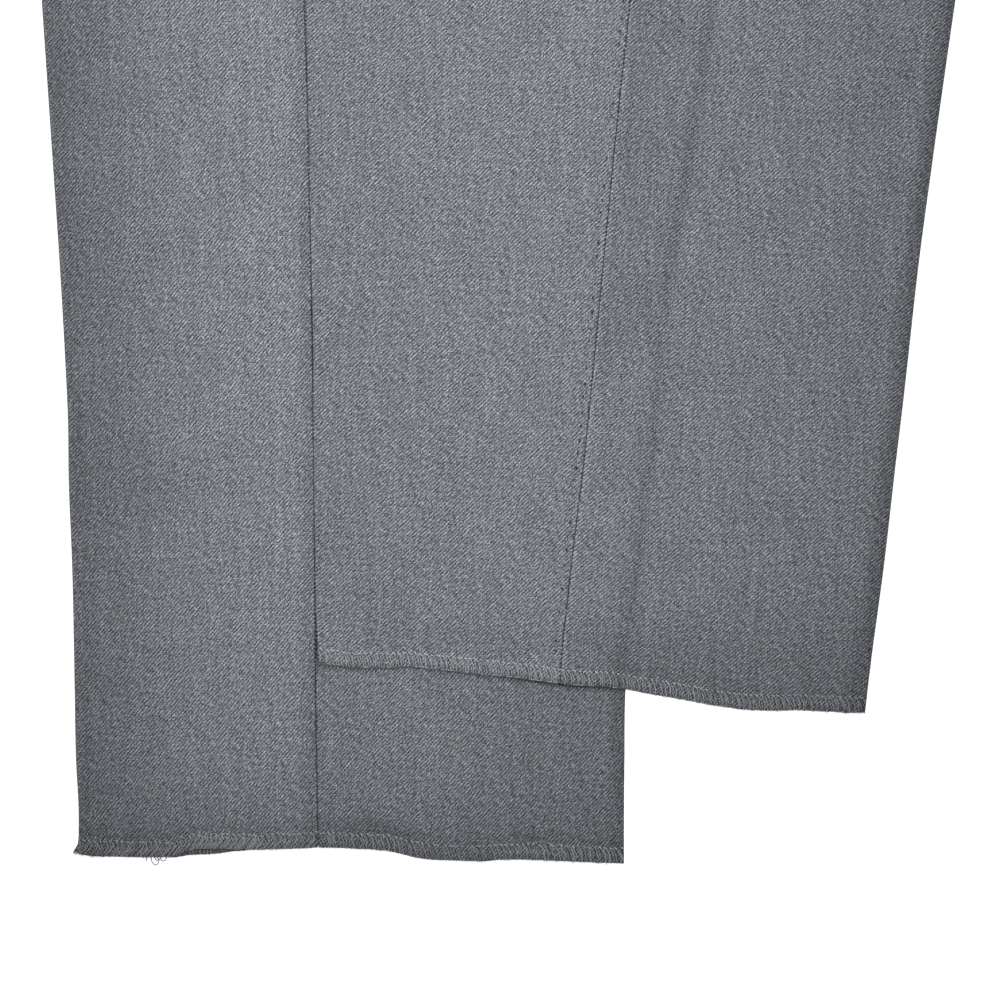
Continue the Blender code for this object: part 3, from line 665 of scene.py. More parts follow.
def newMaterial(name):
    # a material; add: a node with its inputs and settings, which gives one of its outputs; ramp:
    # colours by a value, from pairs of place and colour; finish: sets the shader's inputs
    material = bpy.data.materials.new(name)
    material.use_nodes = True
    tree = material.node_tree

    def feed(node, inputs):
        for key, value in inputs.items():
            if isinstance(value, bpy.types.NodeSocket):
                tree.links.new(value, node.inputs[key])
            else:
                node.inputs[key].default_value = value

    def add(kind, inputs, output=0, **settings):
        node = tree.nodes.new("ShaderNode" + kind)
        for key, value in settings.items():
            setattr(node, key, value)
        feed(node, inputs)
        return node.outputs[output]

    def ramp(value, colours):
        node = tree.nodes.new("ShaderNodeValToRGB")
        feed(node, {"Fac": value})
        stops = node.color_ramp.elements
        for k, (place, colour) in enumerate(colours):
            stop = stops[0] if k == 0 else stops[-1] if k == len(colours) - 1 else stops.new(place)
            stop.position = place
            stop.color = (*colour, 1.0)
        return node.outputs[0]

    def finish(inputs):
        feed(tree.nodes["Principled BSDF"], inputs)

    return material, add, ramp, finish


waveRun = 0.314159  # length of a wave texture's bands at scale 1
twill = {
    "spacing": 1.128 * mm,         # between two lines of the twill
    "yarn": (0.1643, 0.171, 0.1848),
    # yarn tones from the darkest to the palest: place on the ramp, brightness, blue against red
    "tones": [(0.0, 0.12, 1.08), (0.25, 0.37, 1.03), (0.5, 0.98, 1.0), (0.75, 1.99, 0.98), (1.0, 3.6, 0.97)],
    "blue": (0.88, 0.965, 1.09, 1.0),
    "heather": (380.0, 0.44, 0.66, 0.6),  # scale, noise where the blue starts and is full, its share
    "wander": (90.0, 0.9 * mm),    # scale and reach of the lines' wandering
    "stripe": 0.33,
    # noises in the tone: share, scales across and up, detail and roughness
    "noises": {"dash": (0.78, 1250.0, 520.0, 1.0, 0.5), "grain": (1.39, 1850.0, 1850.0, 1.0, 0.5),
               "cloud": (0.05, 40.0, 40.0, 2.0, 0.5), "warp": (0.2, 300.0, 34.0, 2.0, 0.7),
               "weft": (0.11, 34.0, 330.0, 2.0, 0.7)},
    "beads": {"Distortion": 2.5, "Detail Scale": 1.2},
    "loops": {"Distortion": 3.5, "Detail": 2.0, "Detail Scale": 1.4},
    "rough": {"To Min": 0.95, "To Max": 0.78},
    "bump": {"Strength": 0.35, "Distance": 0.2 * mm},
    "finish": {"Specular IOR Level": 0.25, "Sheen Weight": 0.12, "Sheen Roughness": 0.5},
}


def twillMaterial(name, grain, shade):
    # tone = stripes across the grain + broken dashes along it + fine fibre noise + faint clouds
    # + long streaks of thicker and thinner yarns up and across the cloth;
    # the tone picks the yarn's colour and lifts the bump
    material, add, ramp, finish = newMaterial(name)

    def vector(operation, value, other):
        return add("VectorMath", {0: value, 1: other}, operation=operation)

    def noise(place, scale, detail=1.0, rough=0.5, output="Fac"):
        values = {"Vector": place, "Scale": scale, "Detail": detail, "Roughness": rough}
        return add("TexNoise", values, output)

    def turned(place, angle):
        return add("Mapping", {"Vector": place, "Rotation": (0.0, 0.0, angle)})

    def waves(place, pitch, more, **settings):
        return add("TexWave", {"Vector": place, "Scale": waveRun / pitch, **more}, "Fac", **settings)

    def blend(value, factor, rest):
        return add("Math", {0: value, 1: factor, 2: rest}, operation="MULTIPLY_ADD")

    def attribute(key):
        return add("Attribute", {}, "Fac", attribute_name=key)

    cut = add("UVMap", {}, "UV", uv_map="cut")
    scale, reach = twill["wander"]
    drift = vector("SUBTRACT", noise(cut, scale, output="Color"), (0.5, 0.5, 0.5))
    place = vector("ADD", cut, vector("MULTIPLY", drift, (reach, reach, 0.0)))
    lines = turned(place, np.radians(90.0 - grain))
    shares = twill["stripe"] + sum(spec[0] for spec in twill["noises"].values())
    tone = blend(waves(lines, twill["spacing"], {}), twill["stripe"], 0.5 - shares / 2)
    sources = {}
    for key, (share, scaleAcross, scaleUp, detail, rough) in twill["noises"].items():
        stretched = vector("MULTIPLY", lines if key == "dash" else cut, (scaleAcross, scaleUp, 1.0))
        sources[key] = noise(stretched, 1.0, detail, rough)
        tone = blend(sources[key], share, tone)
    # beads along a seam darken the tone, its dark stitches and painted shade of its slit; in a hem's band
    # fine slanted threads take the twill's place
    beads = waves(place, seamLook["pitch"], twill["beads"], bands_direction="Y")
    bead = add("Math", {0: beads, 1: attribute("seam")}, operation="MULTIPLY")
    tone = blend(bead, -seamLook["shade"], tone)
    band = hemLook["band"]
    inBand = add("MapRange", {"Value": attribute("hem"), "From Min": band - hemLook["softIn"],
                              "From Max": band + hemLook["softOut"], "To Min": 1.0, "To Max": 0.0})
    loops = waves(turned(cut, -hemLook["slant"]), hemLook["pitch"], twill["loops"])
    thread = blend(loops, hemLook["lines"], hemLook["pale"] - hemLook["lines"] / 2)
    calm = blend(tone, -hemLook["calm"], hemLook["calm"] / 2)
    tone = blend(add("Math", {0: thread, 1: calm}, operation="ADD"), inBand, tone)
    # shade, the panel's painted light and shade, scales the yarn's colour
    yarn = np.array(twill["yarn"]) * shade
    colours = ramp(tone, [(spot, yarn * bright * np.array([cool ** -0.5, 1.0, cool ** 0.5]))
                          for spot, bright, cool in twill["tones"]])
    scale, low, high, share = twill["heather"]
    tint = add("MapRange", {"Value": noise(cut, scale), "From Min": low, "From Max": high, "To Max": share})
    blued = add("Mix", {0: tint, 6: colours, 7: twill["blue"]}, 2, data_type="RGBA", blend_type="MULTIPLY")
    # the shade attribute scales the colour again: the painted light and shade from paintedShade and the fly
    finish({"Base Color": add("VectorMath", {0: blued, "Scale": attribute("shade")}, operation="SCALE"),
            "Roughness": add("MapRange", {"Value": sources["dash"], **twill["rough"]}),
            "Normal": add("Bump", {"Height": tone, **twill["bump"]}), **twill["finish"]})
    return material


# The waistband goes on from the panels' top edges, in two halves that meet at the back.
waistband = {"wall": 1.6, "tab": 38.0, "tabLift": 2.1, "tabSlope": 8.0, "low": 1117.4, "high": 1158.0,
             "rounding": 0.9, "edge": 1.4, "fold": 6.0, "even": 2.0, "least": 0.1}
bandLift = (waistband["wall"] - cloth["wall"]) / 2  # from the middle of a panel's wall to the band's


def bandTop(across, up):  # the right half's upper wall, on the body
    lofted = loft(across, lower("left", up), upper("right", up), cloth["bodyAir"])
    return cloth["wall"] * 1.5 + lofted + bandLift


def bandTab(across, up):  # the left half's, which climbs onto the right one at the front
    climb = smooth((upper("left", up) + waistband["tabSlope"] - across) / waistband["tabSlope"])
    return bandTop(across, up) + waistband["tabLift"] * climb


def bandBottom(across, up):  # the lower wall, on the floor
    return 0.0 * across + 0.0 * up + waistband["wall"] / 2


def bandCut(leg, side, inset):  # gives a half's section, from the front's middle to the back's
    def cut(up):
        start = upper("left", up) - inset
        fold = leg(side, up) + wayOf(side) * bandLift
        back = np.abs(fold - lower("right", up)) - cloth["seamGap"] / 2
        return start, fold, np.abs(fold - start) + back

    return cut


bandHalf = {"back": bandBottom, "grain": 45.0, "hem": lowerHem, "hemRow": 0.0, "topFirst": True,
            "area": 0.0192}
bands = {
    "waistband_left": {
        **bandHalf, "cut": bandCut(upper, "right", waistband["tab"]), "out": bandTab, "across": 1.0,
        "shade": 0.97, "flat": (0.044, 0.46), "rests": ["left_front_cloth", "left_back_cloth"]},
    "waistband_right": {
        **bandHalf, "cut": bandCut(lower, "left", cloth["seamGap"] / 2), "out": bandTop, "across": -1.0,
        "shade": 1.03, "flat": (0.044, 0.45), "rests": ["right_front_cloth", "right_back_cloth"]},
}


def makeBand(name):  # like a panel, with an edge rounded over: half the wall * sqrt(1 - (1 - share)^2)
    band, low, rounding = bands[name], waistband["low"], waistband["rounding"]
    rise = waistband["high"] - low
    ease = rounding * np.array([0.0, 0.15, 0.4, 0.7, 1.0])
    even = np.linspace(waistband["even"], rise - waistband["even"], 12)
    up = low + np.concatenate([ease, even, rise - ease[::-1]])[:, None]
    length, *_, radius, straight = foldPlaces(band, up)[2:]
    zero, turned = 0.0 * up, straight + np.pi * radius
    edge, bend, tab = waistband["edge"], waistband["fold"], waistband["tab"]
    marks = [zero, zero + edge, zero + tab, zero + tab + waistband["tabSlope"], straight - bend, straight,
             turned, turned + bend, length - edge, length]
    s = columnPlaces(marks, [5, 14, 8, 56, 4, 8, 4, 40, 5], waistband["least"])
    fromEdge = np.minimum(up - low, waistband["high"] - up)
    inset = np.clip(np.minimum(fromEdge, np.minimum(s, length - s)) / rounding, 0.0, 1.0)
    half = waistband["wall"] / 2 * np.sqrt(np.clip(1.0 - (1.0 - inset) ** 2, 0.02, 1.0))
    outer, uv = surface(band, s, up, half)
    inner, _ = surface(band, s, up, -half)
    seam = np.clip(1.0 - (up - low) / rounding, 0.0, 1.0)
    makeCloth(name + "_cloth", name, band, outer, inner, uv, {"seam": seam})
    print(name, "widest", round(float(length.max())))


# The fly's lap over the centre front: its left edge is free, its other side lies into the front.
front = panels["left_front"]
fly = {"lap": 6.0, "width": 36.0, "length": 165.0, "wall": 0.6, "curve": 0.3, "lift": 0.75, "sink": 0.25,
       "settle": 5.0, "edgeRoll": 1.2, "edgeDrop": 0.12, "edgeDark": 0.9, "dark": (0.2, 0.15), "held": 0.2,
       "stitchIn": 5.0, "stitchTop": 1.5, "ditch": 0.24, "ditchHalf": 1.2, "across": 1.0,
       "grain": front["grain"], "shade": front["shade"], "flat": (0.042, 0.165), "area": 0.0062,
       "rests": ["left_front_cloth"]}
# Its row of stitches goes straight down and then a quarter of an ellipse to the free edge.
flyRow = {"top": garment["waistSeam"] - fly["stitchTop"], "bend": fly["curve"] * fly["length"],
          "foot": garment["waistSeam"] - fly["length"] + fly["stitchIn"],
          "reach": fly["width"] - fly["stitchIn"]}


def flyLevel(x, up, away):  # on the front by lift, sinking into it towards the far side
    face = np.maximum(topLayer(x, up), rightInner(x, up) * (x < upper("left", up)))
    return face + fly["lift"] - (fly["lift"] + fly["sink"]) * smooth(1.0 - away / fly["settle"])


def flyUp(x, up):  # the same rows as the left front's
    return rowHeight(front, x, up + 0.0 * x, np.full(x.shape, True))


def makeFly():  # its width grows as a quarter of an ellipse from the foot and is even above
    near = [0.0, 0.004, 0.012, 0.025, 0.045, 0.07, 0.1, 0.14, 0.18]
    share = np.concatenate([near, np.linspace(0.2, 1.0, 76)])[:, None]
    across = np.concatenate([[0.0, 0.008, 0.02, 0.035], np.linspace(0.05, 0.96, 64), [0.98, 1.0]])[None, :]
    up = garment["waistSeam"] - cloth["seamGap"] - fly["length"] * (1.0 - share)
    foot = np.sqrt(np.clip(1.0 - (1.0 - np.minimum(share / fly["curve"], 1.0)) ** 2, 0.0, 1.0))
    width = fly["lap"] + np.maximum(fly["width"] * foot, 1.0)
    fromEdge = width * across
    x = upper("left", up) - fly["lap"] + fromEdge
    fromFoot = np.where(across > fly["held"], up - up.min(), farAway)
    down = np.clip((flyRow["foot"] + flyRow["bend"] - up) / flyRow["bend"], 0.0, 1.0)
    fromRow = fromEdge - fly["lap"] - flyRow["reach"] * np.sqrt(1.0 - down ** 2)
    ditch = bell(fromRow / fly["ditchHalf"])
    z = flyLevel(x, up, np.minimum(width * (1.0 - across), fromFoot)) - fly["ditch"] * ditch
    z = z - fly["edgeDrop"] * fall(fromEdge / fly["edgeRoll"])
    y = flyUp(x, up)
    low = stack(x, y, z - fly["wall"] / 2)
    high = stack(x, y, z + fly["wall"] / 2)
    # dark: painted shade in the stitches' ditch and a painted shadow line along the free edge; seam beads
    # that painted shadow line
    dark = fly["dark"][0] * ditch + fly["dark"][1] * np.exp(-fromEdge / fly["edgeDark"])
    look = {"seam": np.clip(1.0 - fromEdge / fly["edgeDark"], 0.0, 1.0),
            "shade": (1.0 - dark) * underBand(up)}
    makeCloth("fly_lap", "fly", fly, high, low, stack(x, y), look)


def tubes(paths, ups, radius, sides=4):
    # closed tubes on many paths at once: rings of the radius round each point, square to its path
    count, length = paths.shape[:2]
    along = np.gradient(paths, axis=1)
    side = np.cross(along, ups)
    side /= np.linalg.norm(side, axis=-1, keepdims=True) + 1e-9
    top = np.cross(side, along)
    top /= np.linalg.norm(top, axis=-1, keepdims=True) + 1e-9
    turn = (np.arange(sides) + 0.5) * 2 * np.pi / sides
    reach = np.broadcast_to(np.asarray(radius, float), (count, length))[..., None, None]
    circle = np.cos(turn)[:, None] * side[:, :, None] + np.sin(turn)[:, None] * top[:, :, None]
    ring = np.arange(sides)
    base = np.arange(length - 1)[:, None] * sides
    after = np.roll(ring, -1)
    wall = stack(base + ring, base + sides + ring, base + sides + after, base + after)
    caps = np.array([ring[:4], (length - 1) * sides + ring[:4][::-1]])
    quads = np.concatenate([wall.reshape(-1, 4), caps])
    quads = (quads[None] + (np.arange(count) * length * sides)[:, None, None]).reshape(-1, 4)
    run = np.cumsum(np.linalg.norm(np.diff(paths, axis=1, prepend=paths[:, :1]), axis=-1), axis=1)
    uv = np.stack(np.broadcast_arrays(run[:, :, None], turn * 0.1), axis=-1)
    return (paths[:, :, None] + reach * circle).reshape(-1, 3), quads, uv.reshape(-1, 2)


threadLook = {"slant": 0.9, "twist": 900.0, "uneven": 500.0, "share": 0.35, "dark": 0.45, "darkAt": 0.3}


def threadMaterial(name, colour, rough):
    # twisted thread: stripes slanted round it, over a colour that varies a little along it
    material, add, ramp, finish = newMaterial(name)
    cut = add("UVMap", {}, "UV", uv_map="cut")
    slant = add("Mapping", {"Vector": cut, "Rotation": (0.0, 0.0, threadLook["slant"])})
    twist = add("TexWave", {"Vector": slant, "Scale": threadLook["twist"]}, "Fac")
    uneven = add("TexNoise", {"Vector": cut, "Scale": threadLook["uneven"], "Detail": 1.0}, "Fac")
    tone = add("Math", {0: twist, 1: threadLook["share"], 2: uneven}, operation="MULTIPLY_ADD")
    dark = np.array(colour) * threadLook["dark"]
    finish({"Base Color": ramp(tone, [(threadLook["darkAt"], dark), (1.0, colour)]), "Roughness": rough,
            "Normal": add("Bump", {"Height": twist, "Strength": 0.3, "Distance": 0.05 * mm})})
    return material


def sewnPiece(name, parts, material):  # many tubes joined into one piece on the garment
    points, quads, uv = zip(*parts)
    starts = np.cumsum([0] + [len(part) for part in points[:-1]])
    quads = np.concatenate([part + start for part, start in zip(quads, starts)])
    piece = buildMesh(name, np.concatenate(points), quads, np.concatenate(uv), material)


def onPanel(panel, s, rise, lift):  # points on a panel's outer face and the way out from it
    up, level = panel["hemRow"] + rise, cloth["wall"] / 2 + lift
    base, out = surface(panel, s, up, level)[0], surface(panel, s, up, level + 0.2)[0]
    return base, out - base


overlock = {"pitch": 2.2, "width": 6.1, "seed": 41,
            "hair": {"colour": (0.13, 0.135, 0.15), "radius": 0.085, "perMm": 6.6, "reach": (2.0, 0.24),
                     "spread": 0.65, "bend": 0.5, "rise": 0.25, "least": 0.08},
            "edge": {"run": 1.5, "stray": 0.15, "up": 0.2, "vary": 0.06, "lift": 0.02, "bow": 0.1,
                     "thin": 0.9}}
# The upper leg's threads are pale; the lower leg's are finer, tangled and darker, partly their own colour and
# partly painted shade of that hem's shaded end.
threads = {
    "left": {
        "needle": 0.238, "dash": 1.05, "looper": 0.125, "edge": 0.18, "bow": 1.1, "kept": 0.55, "stray": 1.0,
        "colours": {"needle": (0.84, 0.85, 0.86), "looper": (0.5, 0.52, 0.55), "edge": (0.62, 0.6, 0.57)}},
    "right": {
        "needle": 0.24, "dash": 0.95, "looper": 0.14, "edge": 0.15, "bow": 1.25, "kept": 0.75, "stray": 2.0,
        "colours": {"needle": (0.76, 0.76, 0.75), "looper": (0.45, 0.46, 0.48), "edge": (0.36, 0.36, 0.36)}},
}
# The lower hem's stitching starts again over its own end: a second row, dropping from start to end.
rerun = {"panel": "right_front", "from": -66.0, "to": -38.0, "rise": (5.4, 3.9)}
# How a stitch's threads lie, in mm or as shares; each number under vary scales one random draw.
# arcs: the start, bow, thickness and way under the row of the looper's two arcs.
needleLay = {"lean": 0.55, "bow": 0.12, "thin": 1.2,
             "vary": {"size": 0.18, "along": 0.14, "lean": 0.3, "up": 0.12, "thick": 0.15}}
looperLay = {"arcs": ((0.35, 1.0, 1.0, 0.3), (1.35, 0.65, 0.75, 0.8)),
             "turn": 2.2, "drift": 0.4, "drop": 1.1, "foot": 0.15, "bow": 0.07, "rise": 0.02, "thick": 1.05,
             "vary": {"bow": 0.2, "along": 0.2, "wave": 0.12, "foot": 0.1, "sunk": 0.045, "thick": 0.25}}


def threadThin(panel, s, kind):  # share of a thread's thickness: 1 - amount * exp(-((s - middle) / half)^4)
    middle, half, *amounts = panel.get("thin", (0.0, 1.0, 0.0, 0.0))
    return 1.0 - amounts[kind == "needle"] * np.exp(-((s - middle) / half) ** 4)


def needleDashes(panel, spec, first, top, jitter):  # a slanted dash for each stitch, round the row's height
    t = np.linspace(-0.5, 0.5, 4)[None, :]
    vary = needleLay["vary"]
    size = spec["dash"] * (1.0 + vary["size"] * jitter[6])
    s = first + panel["across"] * size * t + vary["along"] * jitter[0]
    rise = top - (needleLay["lean"] + vary["lean"] * jitter[7]) * t + vary["up"] * jitter[1]
    thick = np.clip(1.0 + vary["thick"] * jitter[8], 0.6, 1.2) * threadThin(panel, first, "needle")
    return tubes(*onPanel(panel, s, rise, needleLay["bow"] * np.cos(np.pi * t)),
                 spec["needle"] * (1.0 - needleLay["thin"] * t * t) * thick)


def looperArcs(panel, spec, first, top, jitter):  # two arcs for each stitch, from its dash to the cut edge
    made = []
    t = np.linspace(0.0, 1.0, 8)[None, :]
    lay, vary = looperLay, looperLay["vary"]
    for k, (along, bow, thick, under) in enumerate(lay["arcs"]):
        bent = spec["bow"] * bow * np.clip(1.0 + vary["bow"] * jitter[9 - k], 0.5, 1.5)
        s = first + panel["across"] * (along + bent * np.sin(lay["turn"] * t) + lay["drift"] * t)
        s = s + vary["along"] * jitter[2 + k] + vary["wave"] * jitter[4] * np.sin(9.0 * t + 3.0 * jitter[5])
        rise = (top - under) * (1.0 - t ** lay["drop"]) + lay["foot"] + vary["foot"] * jitter[4 + k] * t
        lift = lay["rise"] + lay["bow"] * np.sin(np.pi * t) - vary["sunk"] * np.abs(jitter[9 - k])
        varied = np.clip(lay["thick"] + vary["thick"] * jitter[8 + k], 0.5, 1.35)
        varied = spec["looper"] * thick * varied * threadThin(panel, first, "looper") + 0.0 * t
        made.append(tubes(*onPanel(panel, s, np.maximum(rise, 0.05), lift), varied))
    return made


def stitchJitter(count, spec, rng):  # ten draws for each stitch, as columns; the first six stray more
    draws = rng.normal(size=(count, 10)) * np.array([spec["stray"]] * 6 + [1.0] * 4)
    return draws.T[:, :, None]


def hemLength(panel):  # whole width of the section at the hem
    return float(panel["cut"](np.array([panel["hemRow"]]))[2][0])


def overlockStitches(name, spec, rng):  # needle dashes, looper arcs and a strand along the cut edge
    panel = panels[name]
    length = hemLength(panel)
    count = int(length / overlock["pitch"])
    first = (np.arange(count)[:, None] + 0.3) * length / count
    jitter = stitchJitter(count, spec, rng)
    rows = [(first, overlock["width"], jitter)]
    kept = rng.uniform(size=count) < spec["kept"]
    t = np.linspace(0.0, 1.0, 4)[None, :]
    lay = overlock["edge"]
    s = (first + panel["across"] * lay["run"] * t + lay["stray"] * jitter[0])[kept]
    rise = (lay["up"] + lay["vary"] * jitter[5] + 0.0 * t)[kept]
    edge = onPanel(panel, s, rise, lay["lift"] + lay["bow"] * np.sin(np.pi * t))
    if name == rerun["panel"]:
        x = np.arange(rerun["from"], rerun["to"], overlock["pitch"])[:, None]
        start, _, _, way, _, _, radius, straight = foldPlaces(panel, np.array([panel["hemRow"]]))
        again = straight + np.pi * radius + (start + way * straight - x) * way
        top = np.interp(x, (rerun["from"], rerun["to"]), rerun["rise"])
        rows.append((again, top, stitchJitter(len(x), spec, rng)))
    return {"needle": [needleDashes(panel, spec, *row) for row in rows],
            "looper": [arc for row in rows for arc in looperArcs(panel, spec, *row)],
            "edge": [tubes(*edge, spec["edge"] * (1.0 - lay["thin"] * (t - 0.5) ** 2))]}


def hemHairs(panel, rng):  # fibres that stand off the cut edge: short bent hairs in random directions
    hair, length = overlock["hair"], hemLength(panel)
    one = (int(length * hair["perMm"]), 1)
    s = rng.uniform(0.4, length - 0.4, one)
    base, _ = onPanel(panel, s, np.full(one, 0.25), -rng.uniform(0.1, 0.6, one))
    reach = rng.gamma(*hair["reach"], one)
    angle = rng.normal(-np.pi / 2, hair["spread"], one)
    bend = rng.normal(0.0, hair["bend"], one)
    t = np.linspace(0.0, 1.0, 4)[None, :]
    dx = np.cos(angle) * t + bend * np.sin(angle) * t * t
    dy = np.sin(angle) * t - bend * np.cos(angle) * t * t
    dz = hair["rise"] * rng.normal(size=one) * t
    paths = base + reach[..., None] * stack(dx, dy, dz)
    paths[..., 2] = np.maximum(paths[..., 2], hair["least"])
    return tubes(paths, (0.05, 0.05, 1.0), hair["radius"] * (1.0 - 0.5 * t))


# Loose thread ends at the lower hem: points across and up the lay, and height over the floor.
looseRadius = 0.24
looseEnds = [
    [(-79.9, 3.4, 1.2), (-79.8, 2.2, 1.4), (-79.3, 0.2, 1.2), (-78.2, -1.0, 0.8), (-77.0, -0.4, 0.9),
     (-76.6, 0.8, 1.3), (-77.2, 2.0, 1.7), (-78.3, 2.4, 1.9)],
    [(-78.6, 3.0, 1.8), (-78.0, 1.6, 1.9), (-77.2, 0.9, 1.5), (-76.2, 1.5, 1.2), (-75.9, 2.6, 1.0)],
    [(-76.6, 3.2, 1.0), (-75.7, 1.1, 1.1), (-74.8, 0.6, 0.9), (-73.9, 1.1, 0.9), (-73.5, 2.6, 1.2)],
    [(-81.1, 3.2, 0.9), (-81.5, 1.7, 0.7), (-81.8, 0.5, 0.4)],
    [(-109.4, 5.6, 0.9), (-110.4, 4.6, 0.8), (-111.0, 4.1, 0.5)],
    [(-109.2, 4.8, 1.1), (-110.2, 4.0, 0.9), (-110.9, 3.9, 0.6)],
    [(-108.6, 4.0, 0.8), (-109.9, 3.4, 0.6), (-110.6, 3.5, 0.4)],
]


def looseThreads():  # each end as a smooth curve through its points
    made = []
    for points in looseEnds:
        x, y, z = np.array(points).T
        table = {"height": np.arange(len(points)), "x": x, "y": y, "z": z}
        at = np.linspace(0.0, len(points) - 1.0, 6 * len(points))
        path = stack(*(read(table, key, at) for key in "xyz"))[None]
        made.append(tubes(path, (0.03, 0.03, 1.0), looseRadius))
    return made


def makeOverlock():  # for each leg its threads by kind, and its fibres
    fibre = threadMaterial("edge_fibre", overlock["hair"]["colour"], 0.9)
    rng = np.random.default_rng(overlock["seed"])
    for side, spec in threads.items():
        made = {"needle": [], "looper": [], "edge": []}
        hairs = []
        for name in (side + "_front", side + "_back"):
            for kind, parts in overlockStitches(name, spec, rng).items():
                made[kind].extend(parts)
            hairs.append(hemHairs(panels[name], rng))
        for kind, parts in made.items():
            thread = threadMaterial(kind + "_thread_" + side, spec["colours"][kind], 0.75)
            sewnPiece("hem_" + kind + "_threads_" + side, parts, thread)
        if side == "right":
            hairs.extend(looseThreads())
        sewnPiece("hem_fibres_" + side, hairs, fibre)


sewing = {
    # The picks' near-black colour is partly painted shade: the thread and the shade of the dimple it sinks
    # into.
    "pick": {"pitch": 5.6, "length": 1.1, "radius": 0.46, "from": 9.0, "toWaist": 190.0, "sunk": (0.22, 0.07),
             "thick": (0.85, 0.2, 0.45, 1.1), "vary": (0.5, 0.14), "colour": (0.016, 0.017, 0.02), "seed": 7},
    "ladder": {"pitch": 1.8, "radius": 0.3, "from": 2.0, "toWaist": 4.0, "sunk": 0.34, "across": 0.7,
               "lean": 0.25, "vary": 0.12, "colour": (0.1, 0.105, 0.115), "seed": 8},
    "fly": {"pitch": 3.2, "stitch": 2.4, "radius": 0.22, "bow": 0.16, "colour": (0.1, 0.105, 0.115)},
}


def seamRows(spec, rng, vary):  # a stitch at each pitch up the left front's outseam, moved a little
    top = garment["waistSeam"] - front["hemRow"] - spec["toWaist"]
    rise = np.arange(spec["from"], top, spec["pitch"])[:, None]
    return rise + rng.normal(0.0, vary, rise.shape)


def makePicks():  # small sunk stitches in a row beside the upper outseam
    spec = sewing["pick"]
    rng = np.random.default_rng(spec["seed"])
    rise = seamRows(spec, rng, spec["vary"][0])
    t = np.linspace(0.0, 1.0, 5)[None, :]
    sunk = rng.normal(*spec["sunk"], rise.shape)
    s = front["ridge"][0] + rng.normal(0.0, spec["vary"][1], rise.shape) + 0.0 * t
    points, out = onPanel(front, s, rise + spec["length"] * (t - 0.5), 0.1 * np.sin(np.pi * t) - sunk)
    middle, spread, least, most = spec["thick"]
    thick = spec["radius"] * np.clip(rng.normal(middle, spread, rise.shape), least, most)
    thread = threadMaterial("pick_thread", spec["colour"], 0.8)
    sewnPiece("outseam_picks", [tubes(points, out, thick)], thread)


def makeLadder():  # stitches that show in the outseam's slit
    spec = sewing["ladder"]
    rise = seamRows(spec, np.random.default_rng(spec["seed"]), spec["vary"])
    t = np.linspace(-0.5, 0.5, 4)[None, :]
    s = spec["across"] * t - cloth["seamGap"] / 2
    points, out = onPanel(front, s, rise + spec["lean"] * t, -spec["sunk"] + 0.0 * t)
    thread = threadMaterial("seam_thread", spec["colour"], 0.85)
    sewnPiece("outseam_stitches", [tubes(points, out, spec["radius"])], thread)


def makeFlyStitch():  # a dash at each pitch along the fly's row, straight and then round its curve
    spec = sewing["fly"]
    straight = flyRow["top"] - flyRow["foot"] - flyRow["bend"]
    turnRadius = (flyRow["bend"] + flyRow["reach"]) / 2
    lengths = np.linspace(0.0, straight + 0.5 * np.pi * turnRadius, 400)
    turn = np.clip((lengths - straight) / turnRadius, 0.0, np.pi / 2)
    up = flyRow["top"] - np.minimum(lengths, straight) - flyRow["bend"] * np.sin(turn)
    t = np.linspace(0.0, 1.0, 5)[None, :]
    at = np.arange(int(lengths[-1] / spec["pitch"]))[:, None] * spec["pitch"] + spec["stitch"] * t
    rows = np.interp(at, lengths, up)
    x = upper("left", rows) + np.interp(at, lengths, flyRow["reach"] * np.cos(turn))
    z = flyLevel(x, rows, farAway) + fly["wall"] / 2 - fly["ditch"] + spec["bow"] * np.sin(np.pi * t)
    paths = stack(x, flyUp(x, rows), z)
    sewnPiece("fly_stitching", [tubes(paths, (0.02, 0.02, 1.0), spec["radius"])],
              threadMaterial("fly_thread", spec["colour"], 0.7))


button = {
    "holeRing": 2.2, "rimRadius": 7.3, "rim": 0.55, "rimFlat": 0.7, "rimSink": 0.1, "rimSides": (48, 12),
    "thread": 0.32, "apart": 0.3, "threadRise": 2.4, "threadFoot": 2.0, "threadTilt": 0.12,
    "colour": (0.055, 0.06, 0.07), "pale": (0.13, 0.135, 0.145), "threadColour": (0.2, 0.205, 0.22),
}


def hornMaterial():  # swirls of noise between two greys, with a fine uneven gloss
    material, add, ramp, finish = newMaterial("button_horn")
    place = add("TexCoord", {}, "Object")
    swirl = add("TexNoise", {"Vector": place, "Scale": 260.0, "Detail": 4.0, "Distortion": 1.6}, "Fac")
    fine = add("TexNoise", {"Vector": place, "Scale": 1800.0}, "Fac")
    finish({"Base Color": ramp(swirl, [(0.42, button["colour"]), (0.75, button["pale"])]),
            "Roughness": add("MapRange", {"Value": swirl, "To Min": 0.28, "To Max": 0.5}),
            "Normal": add("Bump", {"Height": fine, "Strength": 0.1, "Distance": 0.1 * mm})})
    return material


